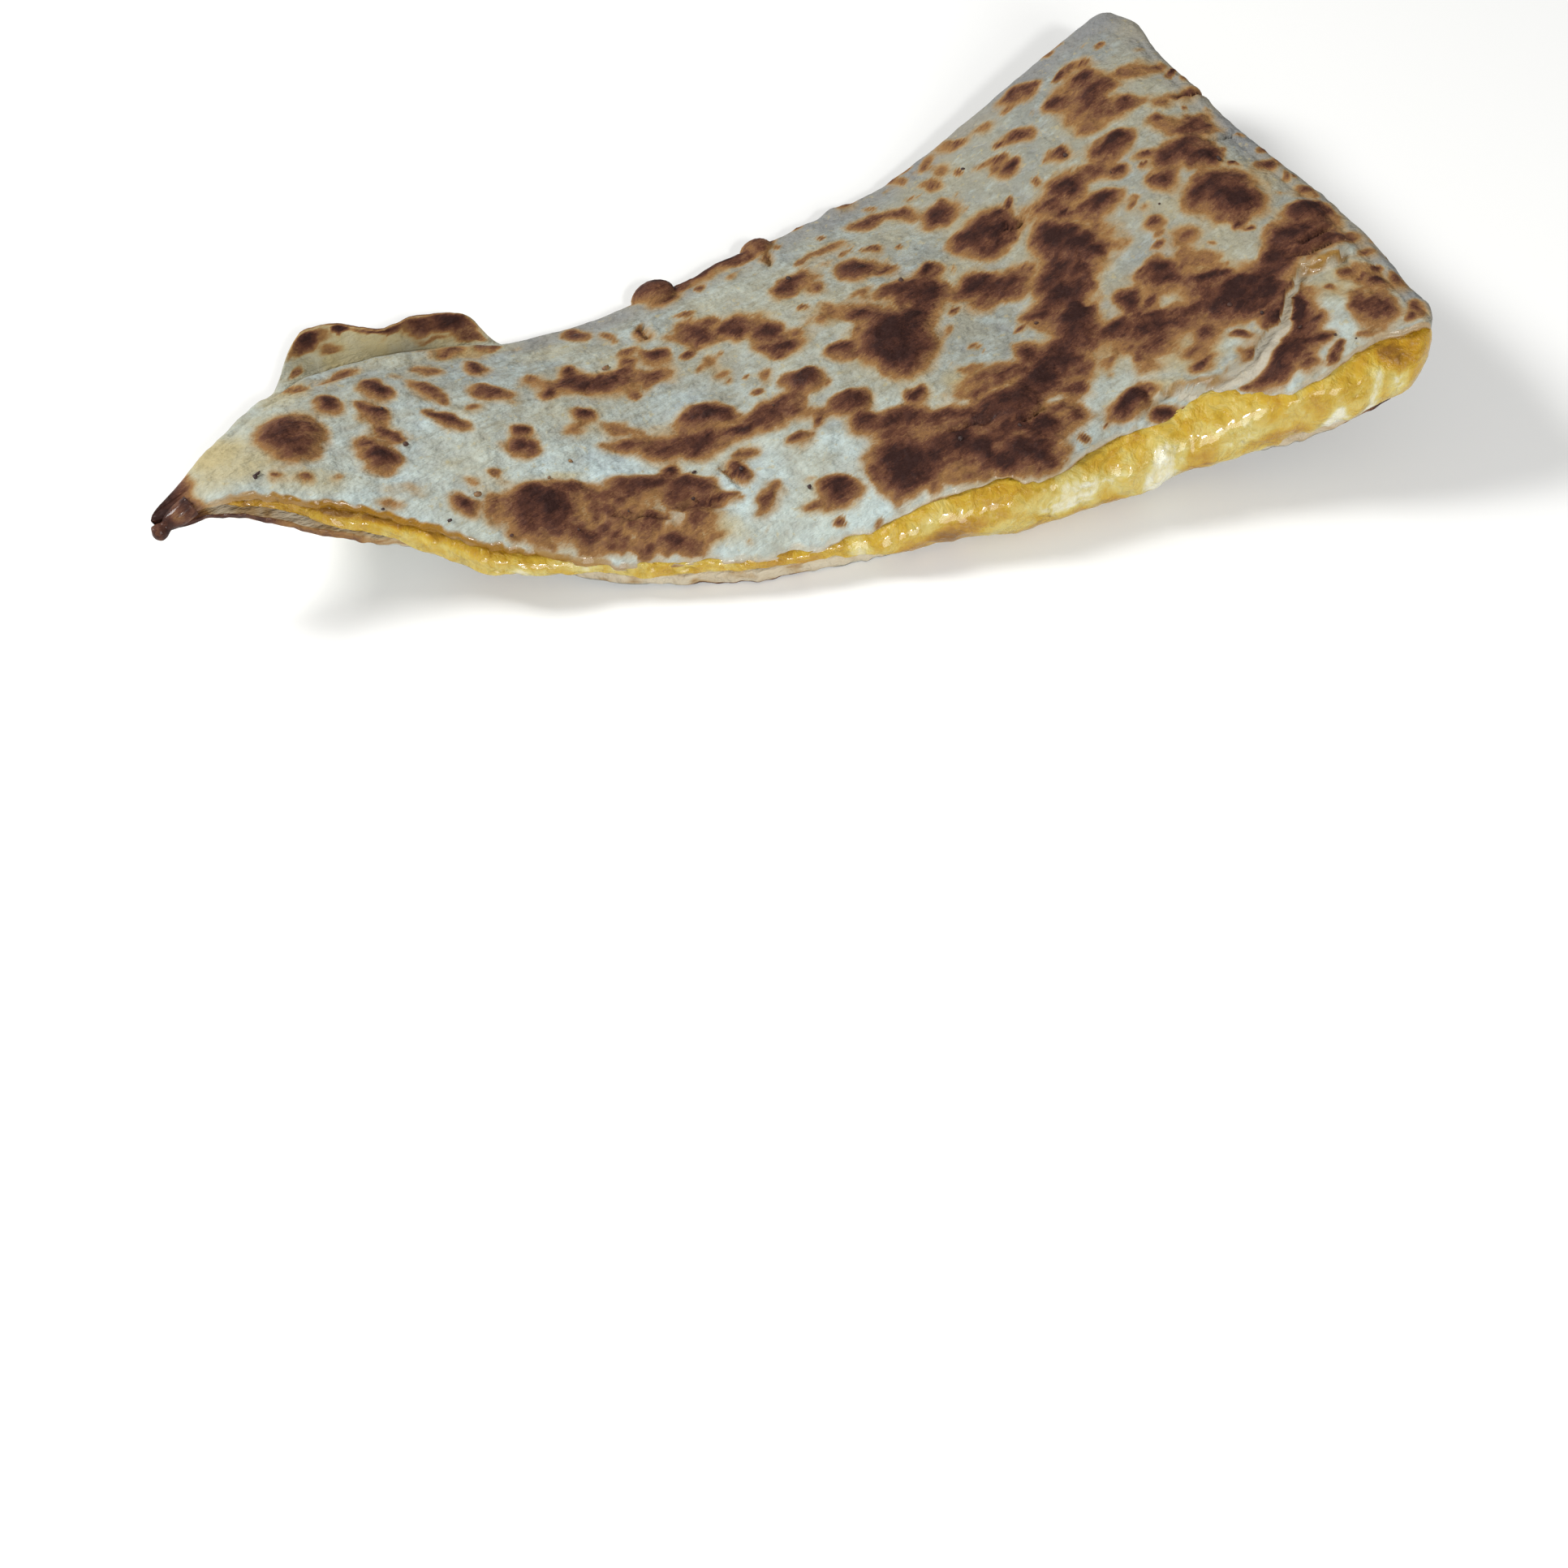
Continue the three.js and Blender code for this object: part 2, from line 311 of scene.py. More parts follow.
@dataclass(frozen=True)
class WedgeForm:
    """Plan, heights and sag of the wedge."""

    shift: tuple[float, float] = (3.0, -14.51)
    cut_line: Knots = (
        (-88, -18.4), (-79, -16.8), (-66, -18.8), (-44, -24.4), (-12, -29.2), (16, -26.4), (48, -22.4),
        (80, -19.4),
    )
    back_line: Knots = (
        (-88.6, -17.2), (-83.5, -8.5), (-75, 4), (-62, 10.8), (-40, 16.4), (-18, 22.8), (8, 34.6),
        (34, 47.4), (50, 56.4), (56.6, 59), (60.2, 55.4), (62, 46.5), (65, 36.5), (70.6, 22), (76.8, 6),
        (80.8, -7), (82.6, -15.4),
    )
    tortilla_thickness: float = 2.3
    thinnest_share: float = 0.36
    fold_roundness: float = 0.62
    cut_height: Numbers = (4.2, 9.2, 8.8, 7.4, 6.8, 7.2, 9.4, 11.4, 12.2, 12.2, 10.8)
    core_height: Numbers = (4.4, 7.6, 8.6, 8.8, 9.2, 9.8, 10.8, 11.8, 12.2, 11.6, 10.2)
    fold_height: Numbers = (4.0, 5.0, 5.6, 6.0, 6.4, 6.8, 7.4, 8.2, 8.8, 9.2, 9.4)
    upper_lip: Knots = (
        (0, 0.2), (0.05, -0.1), (0.1, 0.4), (0.15, 0.8), (0.2, -0.3), (0.25, -0.36), (0.3, -0.7),
        (0.35, -0.62), (0.4, -0.24), (0.45, -0.12), (0.5, 0.1), (0.55, 0.4), (0.584, 1.35), (0.618, 1.0),
        (0.65, 0.8), (0.67, -0.8), (0.686, -1.1), (0.703, -0.6), (0.72, 1.4), (0.737, 2.6), (0.753, 2.7),
        (0.77, 2.2), (0.787, 1.9), (0.8, 2.6), (0.82, 3.5), (0.838, 2.1), (0.855, 1.05), (0.87, 0.1),
        (0.89, -1.9), (0.9, -1.15), (0.917, -0.8), (0.937, 0.8), (0.957, 2.05), (0.98, 1.8), (1, 1.35),
    )
    lip_fall: Knots = (
        (0, 0), (0.04, 0.8), (0.08, 1.5), (0.14, 1.7), (0.2, 1.4), (0.28, 1.9), (0.36, 2.0), (0.44, 1.7),
        (0.52, 1.2), (0.6, 0.9), (0.65, 1.4), (0.69, 2.2), (0.72, 1.6), (0.76, 0.9), (0.82, 0.6),
        (0.88, 1.6), (0.91, 1.4), (0.95, 0.6), (1, 0.4),
    )
    fall_run: float = 6.0
    under_lift: Knots = (
        (0, 0.4), (0.015, 1.4), (0.03, 2.6), (0.07, 2.6), (0.12, 2.3), (0.18, 2.1), (0.25, 1.5), (0.33, 0.7),
        (0.42, 0), (1, 0),
    )
    under_run: tuple[float, float] = (2.0, 16.0)
    lip_thickness: Knots = (
        (0, 1.0), (0.05, 1.7), (0.2, 1.9), (0.28, 1.5), (0.36, 1.0), (0.45, 0.9), (1, 0.95),
    )
    bottom_setback: Knots = (
        (0, 0), (0.04, -0.5), (0.08, -1.0), (0.14, -0.9), (0.2, 0.4), (0.3, 0.4), (0.4, 0), (0.5, 0),
        (0.6, 0.4), (0.7, 1.0), (0.8, 0.8), (0.86, -0.6), (0.885, -1.8), (0.92, -2.4), (0.95, -2.6),
        (0.975, -2.0), (1, -0.6),
    )
    left_sag: tuple[float, float, float, float] = (-26, 64, 14, 1.7)
    right_sag: tuple[float, float, float, float, float] = (28, 62, 16.6, 1.35, 0.3)
    waves: tuple[Numbers, ...] = (
        (0.35, 0.11, 0.07, 0.6), (0.25, -0.17, 0.13, 2.1),
    )

    def sections(self, share: Array) -> Sections:
        """The wedge's sections.

        Args:
            share: Shares of the way along the cut.

        Returns:
            One section for each share.
        """
        start, end = plan_curve(self.cut_line, share), plan_curve(self.back_line, share)
        across = end - start
        depth = np.hypot(*across.T)
        fold = profile(self.fold_height, share)
        bend = np.minimum(self.fold_roundness * fold, 0.45 * depth)
        thinnest = self.thinnest_share * np.minimum(fold, profile(self.cut_height, share))
        layer = np.minimum(self.tortilla_thickness, thinnest)
        return Sections(share, start, across / depth[:, None], depth, fold, bend, layer, depth - bend)

    def height(self, sec: Sections, distance: Array) -> Array:
        """Height of the upper skin above the underside.

        Args:
            sec: The sections.
            distance: Distances from the cut, one row for each section.

        Returns:
            Heights, in the shape of distance.
        """
        t = np.clip(distance / sec.run_end[:, None], 0.0, 1.0)
        crown = np.sin(math.pi * t) ** 0.8
        straight = blend(profile(self.cut_height, sec.share)[:, None], sec.fold[:, None], t)
        core = profile(self.core_height, sec.share)[:, None]
        raised = np.maximum(0.0, core - straight) * crown * np.minimum(1.0, sec.depth / 30.0)[:, None]
        lip = along_knots(self.upper_lip, sec.share)[:, None]
        fall = along_knots(self.lip_fall, sec.share)[:, None]
        return straight + raised - fall * np.clip(1.0 - (distance - lip) / self.fall_run, 0.0, 1.0) ** 2

    def plan(self, sec: Sections, distance: Array) -> tuple[Array, Array]:
        """Plan position of points at distances from the cut.

        Args:
            sec: The sections.
            distance: Distances from the cut, one row for each section.

        Returns:
            The x and y of each point in the part's frame.
        """
        x = sec.start[:, 0:1] + sec.across[:, 0:1] * distance + self.shift[0]
        y = sec.start[:, 1:2] + sec.across[:, 1:2] * distance + self.shift[1]
        return x, y

    def ground(self, x: Array, y: Array) -> Array:
        """Height of the wedge's underside above the resting plane.

        Args:
            x, y: Plan positions.

        Returns:
            Heights of the underside.
        """
        px, py = x - self.shift[0], y - self.shift[1]
        start, run, rise, power = self.left_sag
        left = rise * (np.maximum(0.0, start - px) / run) ** power
        start, run, rise, power, lean = self.right_sag
        return left + rise * (np.maximum(0.0, px + lean * py - start) / run) ** power

    def wave(self, sec: Sections, x: Array, y: Array, height: Array) -> Array:
        """Slow waves that lift the upper layer.

        Args:
            sec: The sections.
            x, y: Plan positions.
            height: Heights above the underside.

        Returns:
            The lift at each point.
        """
        px, py = x - self.shift[0], y - self.shift[1]
        total = sum(h * np.sin(a * px + b * py + c) for h, a, b, c in self.waves)
        upper = ease(sec.layer[:, None], 2 * sec.layer[:, None], height)
        return total * upper * np.minimum(1.0, sec.depth / 30.0)[:, None]

    def place(self, sec: Sections, distance: Array, height: Array) -> Array:
        """Points of the sections in the part's frame.

        Args:
            sec: The sections.
            distance: Distances from the cut, one row for each section.
            height: Heights above the underside.

        Returns:
            An array of x, y, z in its last axis.
        """
        x, y = self.plan(sec, distance)
        lift = along_knots(self.under_lift, sec.share)[:, None] * (1.0 - ease(*self.under_run, distance))
        low = np.clip(1.0 - height / profile(self.cut_height, sec.share)[:, None], 0.0, 1.0)
        z = height + lift * low + self.wave(sec, x, y, height) + self.ground(x, y)
        return np.stack([x, y, z], axis=-1)


# ---- What the griddle did to the skin, and painted shade on it ----


@dataclass(frozen=True)
class GriddleMarks:
    """Scorched patches, soaked patches, painted shade and relief of the upper skin."""

    scorches: tuple[Blot, ...] = blots((
        # left tip and rim
        (-84, -29.5, 7, 5, 60, 1.0), (-68.5, -21.2, 9.6, 9, 0.78), (-57.2, -11.8, 5.6, 2.8, -42, 0.85),
        (-63.7, -14.8, 4.2, 2.6, -55, 0.85), (-57.8, -16.2, 5.4, 2.8, -35, 0.8),
        (-50.5, -12.2, 7, 2.2, -40, 0.6), (-48.2, -18.2, 7, 2.4, -33, 0.85), (-56, -20.4, 6, 2.2, -35, 0.6),
        (-57.5, -24.7, 6, 4.2, -10, 0.85), (-59.5, -22.2, 3, 3, 0.5), (-44.5, -16, 2.4, 1.6, 0.35),
        (-39, -21, 3, 2.4, 0.75), (-39.2, -23.8, 5.5, 2.6, -15, 0.8), (-41.5, -13.2, 7, 3, -12, 0.5),
        (-31, -12, 8, 3.5, 15, 0.55), (-25.5, -13, 14, 5, 0.36), (-23.5, -11, 6, 2.5, 0.48),
        (-30.7, -9, 3, 1.7, 0.85), (-34.2, -14.2, 2, 1.5, 0.7), (-36.2, -10.5, 2, 2.4, 0.45),
        (-29.7, -18.5, 3.4, 2.3, 0.9), (-25.5, -21.2, 6, 2, -8, 0.4), (-31.5, -21, 4, 2, 0.28),
        (-47.7, -32.8, 4.6, 2.3, -60, 0.85), (-56.5, -32.7, 4, 2.4, 0.24), (-54, -30.2, 5, 2, -15, 0.14),
        (-62.5, -28.5, 2.2, 1.8, 0.26), (-70, -28.2, 1.4, 0.8, -40, 0.6), (-67, -28.4, 1, 1.4, 0.6),
        (-68, -11, 4, 2, 0.4), (-50.5, -7, 5, 2.8, -20, 0.42), (-47.4, -2.6, 7, 1.6, 14, 0.6),
        (-62.4, -8.2, 7, 1.4, 24, 0.55), (-44, -7, 4.4, 1.8, -62, 0.85), (-46, -29.5, 3, 1.2, -30, 0.3),
        (-43, -28.6, 3, 1.2, -30, 0.3),
        # middle
        (-13.5, -20.7, 9.5, 4.6, -8, 0.92), (-25, -24.2, 7, 2.4, -8, 0.55), (-20, -25.5, 9, 4, -10, 0.62),
        (-14.5, -25.7, 8, 3.6, 10, 0.85), (-9.2, -24.2, 4, 2, 10, 0.85), (-5, -22, 10, 4.6, 20, 0.58),
        (-3.4, -21, 4, 2.6, 10, 0.75), (-19.7, -29.4, 2.4, 1.4, 0.9), (-10.3, -31, 5, 2, -45, 0.65),
        (-7.6, -36.6, 4.4, 2.2, 48, 0.6), (-5.6, -34.8, 2.6, 1.8, 0.5), (-28.8, 0, 5, 2.6, -60, 0.72),
        (-24.5, -2.2, 5, 1.4, -50, 0.36), (-12.8, -5, 7, 3, -50, 0.6), (-11.5, -6.6, 3, 2, 0.7),
        (-6.5, -5, 6, 2.6, 30, 0.6), (-2, -6.8, 5, 4, 0.85), (-22, -6.8, 2.4, 1.4, 0.7),
        (-22.2, -8.9, 2.2, 1.2, 0.6), (-18.5, -8.3, 4, 1.9, -10, 0.85), (-11, -11, 2.6, 2.6, 0.36),
        (-3.7, -15.2, 2, 1.8, 0.42), (-9.7, -13.5, 3.6, 1, 10, 0.36), (-18, -12, 4.4, 1.6, 0.4),
        (-1, -10.4, 8, 2.3, 0.85), (1.3, -17.4, 6.4, 3.2, 5, 0.95), (6.6, -22.9, 6.4, 4, 15, 0.95),
        (15.8, -22.9, 3, 2, 0.82), (-0.9, -27.4, 4, 1.7, 10, 0.6), (7.4, -26.6, 4, 2.6, 0.9),
        (7.4, -13.2, 6, 2.8, 0.8), (11, -6.6, 4.8, 2, 0.88), (7.4, -4.5, 4, 3.6, 0.34),
        (3.2, 2.4, 7, 2.8, 35, 0.6), (1, 0.8, 2.6, 2, 0.9), (12.6, 2.6, 6, 3.6, 0.9),
        (16.6, 1.8, 4.4, 1.6, 0.5), (16, 7.4, 2.6, 1.6, 0.5), (-16.4, 7.3, 6.6, 4.4, 22, 1.0),
        (-15.4, 4.0, 6.4, 2.4, 20, 0.3), (-14.2, 9.4, 6, 3.4, 24, 0.9), (-4.6, 11.6, 6.4, 2.8, 26, 0.9),
        (-9, 9, 7, 2.6, 26, 0.7), (0.4, 14.6, 4.4, 2.8, 26, 0.95), (-19.5, -2.4, 0.7, 4.5, 0.75),
        (0.5, 10, 0.7, 3.4, 0.6), (14.7, 20.5, 5, 1.6, 25, 0.42), (22.6, 23.6, 2, 2.6, 0.36),
        (8.5, 8.6, 9, 1.6, 22, 0.3), (46.4, 2.8, 4, 3, 0.4), (57, -8, 5, 4, 0.4), (5.6, 0.4, 3, 2, 30, 0.5),
        (28, -8.6, 4, 2, 0.5), (50, 8.6, 3, 2, 0.5), (2.4, -24, 4, 2.4, 0.4), (-9, -28.4, 4, 2, 0.4),
        (10.6, 9.6, 4, 1.4, 24, 0.4),
        # big patch at the cut
        (-37.4, -34, 11, 7.6, -15, 0.95), (-33, -31.4, 8, 3, -6, 0.55), (-23.5, -31.6, 13, 3.4, -3, 0.66),
        (-17.6, -32.6, 8, 4, -10, 0.78), (-26.4, -36, 7, 2.2, 8, 0.3), (-20, -40.5, 4.4, 2, -20, 0.75),
        # the last mark on the next line and the first on the line after it are thin dark lines along two
        # cracks: painted shade inside the cracks
        (-15.8, -38, 4, 3, 0.4), (-32, -38, 9, 3, -18, 0.6), (-14.4, -35.3, 7.6, 0.7, 4, 0.95),
        (-10.8, -31.8, 5.5, 0.6, -38, 0.8), (-43.5, -33.4, 4, 4, -10, 0.5),
        # scorched patches near the cut, right of the middle
        (2.4, -36.3, 6, 5, 30, 0.8), (-1.6, -38, 4, 1.6, 10, 0.4), (11.6, -33.2, 9.4, 8, 0.92),
        (10.3, -36.8, 6, 4, 0.85), (16.6, -33.8, 9, 9, 0.62), (20.3, -32.2, 3.6, 3.6, 0.92),
        (21.8, -35.6, 8, 5, 0.6), (12.6, -27.1, 9, 4.4, 10, 0.85), (18.4, -27.8, 8, 3, 0.7),
        (27.6, -28.2, 10.4, 5.4, 8, 0.98), (24, -30, 8, 3, 0.7), (31.6, -32.8, 6, 4, 0.85),
        (27.2, -37.2, 8.4, 5, -6, 0.96), (24.2, -34, 8, 5, 0.6), (43.2, -31.8, 7, 3.6, 22, 0.85),
        (36, -32, 5, 4, 0.5), (47.9, -34.3, 3.6, 2.4, 10, 0.9), (54.6, -33, 5, 1.4, 0.4),
        # heart of the wedge
        (15.3, -12.9, 12, 9.4, 0.98), (15.5, -16, 9, 4, 8, 0.85), (21.6, -4.5, 5.4, 6, 50, 0.85),
        (18.6, -8.4, 6, 3.6, 30, 0.85), (18.4, -2.4, 11, 2.5, 20, 0.58), (22, 0.3, 4.2, 1.6, 5, 0.88),
        (12, -2.8, 6, 1.6, 20, 0.3), (29.2, -4.5, 6, 5, 0.9), (32.8, -5.8, 5.2, 4.6, 0.9),
        (25.6, -5.6, 3, 2, 0.5), (32, 5.2, 9, 7, 0.66), (34, 7.4, 4.4, 1.7, 0.95),
        (34.7, 4.8, 5, 1.5, -8, 0.92), (29, 4.4, 4, 5, 0.82), (31.6, 1.6, 6, 2.4, 0.5),
        (39, -10.6, 10.4, 3.4, 12, 0.9), (43.2, -3, 5.6, 7, 60, 0.96), (41, -0.6, 8, 4.6, -20, 0.88),
        (39.2, -7.1, 8, 4.6, 38, 0.9), (35.3, -12.9, 5, 2.2, 10, 0.62), (40, -16, 6, 6.4, 60, 0.95),
        (47.6, -15.3, 3.6, 4.6, 0.9), (44.6, -18.9, 7, 1.9, 8, 0.88), (36.8, -21.3, 9, 4.8, 52, 0.8),
        (33.2, -24, 8, 4, 38, 0.75), (25.8, -22, 8, 3, 22, 0.42), (32.1, -19.2, 4, 2.6, -20, 0.82),
        (24.4, -20, 4, 1.4, 0.4), (30.4, -26, 8, 4, 28, 0.8), (36.8, -27.6, 3.8, 2.8, 0.78),
        (28, -22.4, 4, 1.6, 30, 0.7), (40, 1.3, 4.4, 4, 0.9), (36.3, -3.4, 2.2, 1.4, 0.38),
        (34, -30, 6, 2, 0.5), (38.6, -24.4, 5, 3, 30, 0.5),
        # upper right
        (43.4, 32.4, 3.6, 2.6, 0.72), (41.8, 30.6, 5, 3.2, 0.48), (51, 32.4, 1.7, 1.4, 0.58),
        (53.2, 31.8, 1.5, 1.2, 0.55), (52.2, 29, 3.2, 3, 0.82), (52.4, 25.3, 5.6, 2.8, 30, 0.95),
        (47.2, 25.3, 3.2, 2.2, 0.88), (50.6, 22.8, 7, 5.6, 0.42), (56, 20.8, 2.4, 1.4, 0.82),
        (54, 19.5, 9, 1.8, 0.42), (58.6, 26.6, 5, 3.4, 0.3), (57, 27.5, 2.6, 1.4, 20, 0.5),
        (62.6, 27.2, 3.5, 2, 0.4), (40.5, 21.5, 4, 1.6, 0.84), (29, 21.3, 2.6, 4, 0.34),
        (32.1, 26.3, 4, 1.7, -30, 0.44), (36.8, 26.3, 1.8, 2, 0.36), (27.3, 18, 2.4, 0.9, -28, 1.0),
        (37.9, 15.9, 3, 2.6, 20, 0.86), (45.2, 15.5, 2.4, 2.4, 0.72), (35.3, 18.4, 5, 1.2, 0.3),
        (52.4, 13.3, 7, 3.4, 12, 0.96), (59.4, 15.3, 2.2, 1.6, 0.78), (60.8, 18.6, 2.2, 1, 0.62),
        (65.3, 20, 8, 1.3, 14, 0.62), (49.5, 18.2, 2.4, 1.6, 0.5), (16.2, 14.6, 6, 2.2, 0.74),
        (21.6, 14, 3.6, 2.4, 0.68), (26.4, 11.6, 5, 3.8, 30, 0.84), (25, 9.8, 4, 2, 0.4),
        (44.7, 8.2, 7, 3.2, 0.76), (41.8, 6, 3.2, 1.4, 0.9), (45.3, 6.8, 2.6, 1.7, 0.9),
        (48.4, 3.2, 7, 3.4, 0.92), (43.3, 4, 1.7, 1.6, 0.98), (51.8, 7.9, 3, 1.5, 0.9),
        (56, 9.5, 2.2, 1, 0.85), (58.4, 7.1, 3.4, 4, 45, 0.9), (61.6, 8.4, 6, 4, 30, 0.82),
        (63.2, 5.5, 4.6, 2.6, 5, 0.92), (56.8, 3.4, 3.6, 3, 0.68), (63.7, 13.2, 6, 4, 20, 0.68),
        (65.6, 11.8, 4, 2, 0.6), (71.3, 2.6, 4.4, 2, 0.6), (63.7, -0.3, 8, 5, 0.82),
        (65.3, -4, 9, 5, -20, 0.92), (60.5, -1.8, 4, 4, 0.82), (53.7, -4.2, 2.2, 1.3, 0.88),
        (53.2, -1, 1.5, 1.4, 0.3), (75, -4, 2, 3, 30, 0.6), (74, 3, 2.4, 2, 0.4),
        # right corner
        (73.7, -8.7, 6, 3, 5, 0.84), (70, -13.4, 8, 7, 45, 0.8), (67.4, -16, 7, 4, 0.88),
        (75, -11.5, 8, 4, 0.5), (76, -15, 10, 2, 6, 0.62), (62, -18.7, 8, 4, 0.92), (60, -20.8, 9, 5, 0.96),
        (63.2, -21.8, 4, 3, 0.95), (50, -20.8, 6, 3, 0.7), (55, -20, 6, 3, 0.75), (50, -18.7, 5, 1.6, 0.8),
        (52.6, -11.3, 4, 3.4, 0.9), (53, -13.6, 6, 4, 0.6), (58.4, -15.8, 9, 2, -5, 0.84),
        (49, -23.6, 6, 3, 10, 0.5), (53.7, -26, 4, 2.4, 0.42), (56, -24, 5, 3, 0.5),
        (54, -28.6, 4, 1.6, 15, 0.6), (47, -27.2, 6, 3, 0.3), (67.2, -24.8, 4.2, 9.6, -22, 0.92),
        (64.2, -30.4, 8.4, 5.6, 25, 0.95), (62, -33.2, 6, 3.6, 0.8), (68.4, -30.3, 4, 2, 0.84),
        (66.6, -34.4, 4, 1.6, 0.4), (76.8, -27.6, 6.4, 3.6, 0.68), (79, -24.2, 2.6, 1.7, 0.8),
        (76.3, -20.8, 2.6, 1.4, 0.6), (69.5, -27.4, 2, 1.5, 0.85), (82.6, -29.7, 2.4, 2, 0.6),
        (75, -31.6, 3, 1.6, 0.3), (73, -22.6, 2, 1.4, 0.4), (82, -24, 2, 4, 15, 0.5),
        (79.6, -18, 4, 1.2, 20, 0.4),
    ))
    washes: tuple[Blot, ...] = blots((
        (-29, -36.2, 32, 12, -8, 0.66), (-36.5, -34.5, 13, 10, -10, 0.75), (-20, -36.4, 13, 12, 0.6),
        (-24, -40.6, 24, 5, -4, 0.66), (-26, -12.2, 22, 6, 0.62), (-42, -13, 8, 3, -10, 0.5),
        (-17, -23.8, 17, 5, -16, 0.5), (-4, -22.4, 14, 6, 14, 0.62), (-6, -27.8, 10, 3, 0.15),
        (-9, -28.6, 5, 4, 0.34), (-9, -4.6, 17, 6.4, 0.7), (0, -9, 10, 4, 0.62), (3, -36.6, 8, 5, 12, 0.4),
        (12, -34, 12, 14, 0.95), (21, -32.6, 28, 14, 0.95), (27, -37.6, 14, 7, -4, 0.95),
        (15, -12.4, 14, 16, -12, 0.95), (20, -4.6, 12, 9, 50, 0.85), (7, -6, 10, 5, 0.45),
        (30, -5.4, 14, 8, -4, 0.85), (32, 4.6, 12, 9, 0.8), (42, 5, 12, 8, 0.62), (44, -4, 14, 12, 60, 0.95),
        (39.6, -14, 10, 18, -14, 0.9), (34.6, -22.6, 15, 9, 42, 0.92), (26, -23.4, 18, 6, 18, 0.5),
        (48, -21.4, 24, 8, 4, 0.72), (51, -25.6, 14, 6, 0.28), (54, -13.6, 16, 8, 0.6),
        (62, -19.4, 18, 9, 0.98), (66.4, -26, 8, 17, -22, 0.98), (63, -30.4, 11, 9, 10, 0.95),
        (77.6, -26.6, 8, 12, 0.5), (71.4, -14, 12, 10, 20, 0.92), (74, -9.4, 11, 5, 0.72),
        (64.6, -2.6, 14, 12, -20, 0.85), (62, 7, 10, 9, 20, 0.8), (64, 13, 10, 6, 0.6),
        (76, -15, 8, 3, 6, 0.5), (46.6, 9.6, 14, 5, 10, 0.5), (51, 23.6, 12, 13, 0.55),
        (51.6, 13.4, 9, 5, 0.7), (43, 31, 8, 6, 20, 0.5), (26, 12, 9, 6, 0.55), (18, 14.4, 12, 4, 0.45),
        (4, 2.6, 12, 5, 34, 0.5), (13, 3, 10, 5, 0.55), (-14, 7.4, 9, 5, 20, 0.8),
        (-4, 11, 12, 4.4, 24, 0.8), (-58, -21.5, 6, 8, 12, 0.4), (-55, -30.6, 7, 3, -20, 0.16),
        (43.6, -31.6, 9, 5, 14, 0.85), (57, 20, 12, 3, 0.4), (60, 27, 7, 5, 0.3), (39.6, 22, 6, 3, 0.4),
        (31, 26, 8, 3, 0.3),
    ))
    creams: tuple[Blot, ...] = blots((
        (-78, -24, 14, 12, 40, 0.95), (-66, -29, 16, 6, 0.6), (-70, -12, 10, 8, 40, 0.6),
        (-56, -5, 14, 5, 12, 0.35), (-44, -2, 16, 5, 12, 0.6), (-33, -4, 12, 5, 10, 0.4),
        (-76, -27, 18, 8, 20, 0.8), (-34, -29, 6, 2, 0.7), (-14, -40, 8, 5, 0.7), (22, -22, 6, 6, 0.55),
        (8, 9, 12, 4, 25, 0.3), (52, -27, 16, 8, 0.5), (75, -23, 12, 10, 0.55), (46, -30.5, 14, 3, 0.7),
        (31, 8, 16, 8, 0.35), (20, 14, 16, 8, 10, 0.3), (52, 19, 20, 12, 0.3), (-28, -12, 22, 8, 0.35),
        (60, 27, 10, 6, 0.4), (56, -2, 8, 8, 0.4), (70, 18, 8, 8, 0.3), (26, -1, 10, 8, 0.35),
        (44, -24, 14, 8, 20, 0.35),
    ))
    soaks: tuple[Blot, ...] = blots((
        (52, -31.4, 11, 1.1, -2, 0.75), (73.5, -18.9, 8, 1.4, 5, 0.9), (24, -30.6, 7, 1.2, 4, 0.85),
        (-50, -1.4, 12, 1.2, 14, 0.7), (-43.5, -2.6, 5, 4, 60, 0.5),
    ))
    tear: Knots = (
        (79, -17.6), (74, -18.6), (69.6, -19.6), (67, -22), (65.4, -25), (62.2, -27.4), (59.6, -30),
        (56, -31.4), (51, -31.8), (45.6, -30.8),
    )
    bumps: tuple[Numbers, ...] = (
        (12, 20.4, 2.6, 0.6), (-68.5, -21.2, 4.5, 0.8), (-13.5, -20.7, 4, 0.7), (6.6, -22.9, 3, 0.6),
        (1.3, -17.4, 2.6, 0.6), (15.3, -12.9, 6, 0.9), (32, 5.4, 5, 0.8), (73.7, -8.7, 3, 0.8),
        (65, -3.4, 4.2, 0.7), (27.4, -37, 4, 0.6), (43.2, -31.6, 2.8, 0.7), (-36, -34, 6, 0.5),
        (-25, -33.4, 6, 0.4), (27.6, -28.2, 4, 0.6), (52.4, 25, 3, 0.5), (52.4, 13.3, 3, 0.5),
        (62, 7.6, 3.2, 0.5), (-57.5, -24.4, 3, 0.5), (12.6, 2.6, 3, 0.4), (40, -16, 3, 0.5),
        (64, -30.6, 3.6, 0.5), (43, -4, 4, 0.5),
    )
    cracks: tuple[Numbers, ...] = (
        (-16, -35.8, 7.5, 0.8, -2), (-11.4, -32, 6, 0.6, -50), (-19.4, -2.4, 4.4, 0.5, 88),
        (0.8, 9.4, 4, 0.5, 95), (-24, -36.4, 10, 0.3, -6), (73.4, -14.2, 6, 0.5, 12),
        (72.6, -16.4, 7, 0.5, 4), (30, -31, 6, 0.35, 8), (66, 20, 7, 0.5, 14), (36, 4.6, 4, 0.4, 10),
        (22, -30.4, 8, 0.5, 6), (67, 9.6, 7, 0.4, 18),
    )
    specks: int = 760
    grain_seed: int = 11
    coarse_shake: tuple[float, float] = (0.8, 4.2)
    fine_shake: tuple[float, float] = (0.42, 1.5)
    body_fade: tuple[float, float] = (0.0, 1.3)
    core_slip: float = 0.06
    halo_reach: float = 3.4
    halo_slip: float = 0.16
    halo_level: float = 0.42
    wash_level: float = 0.5
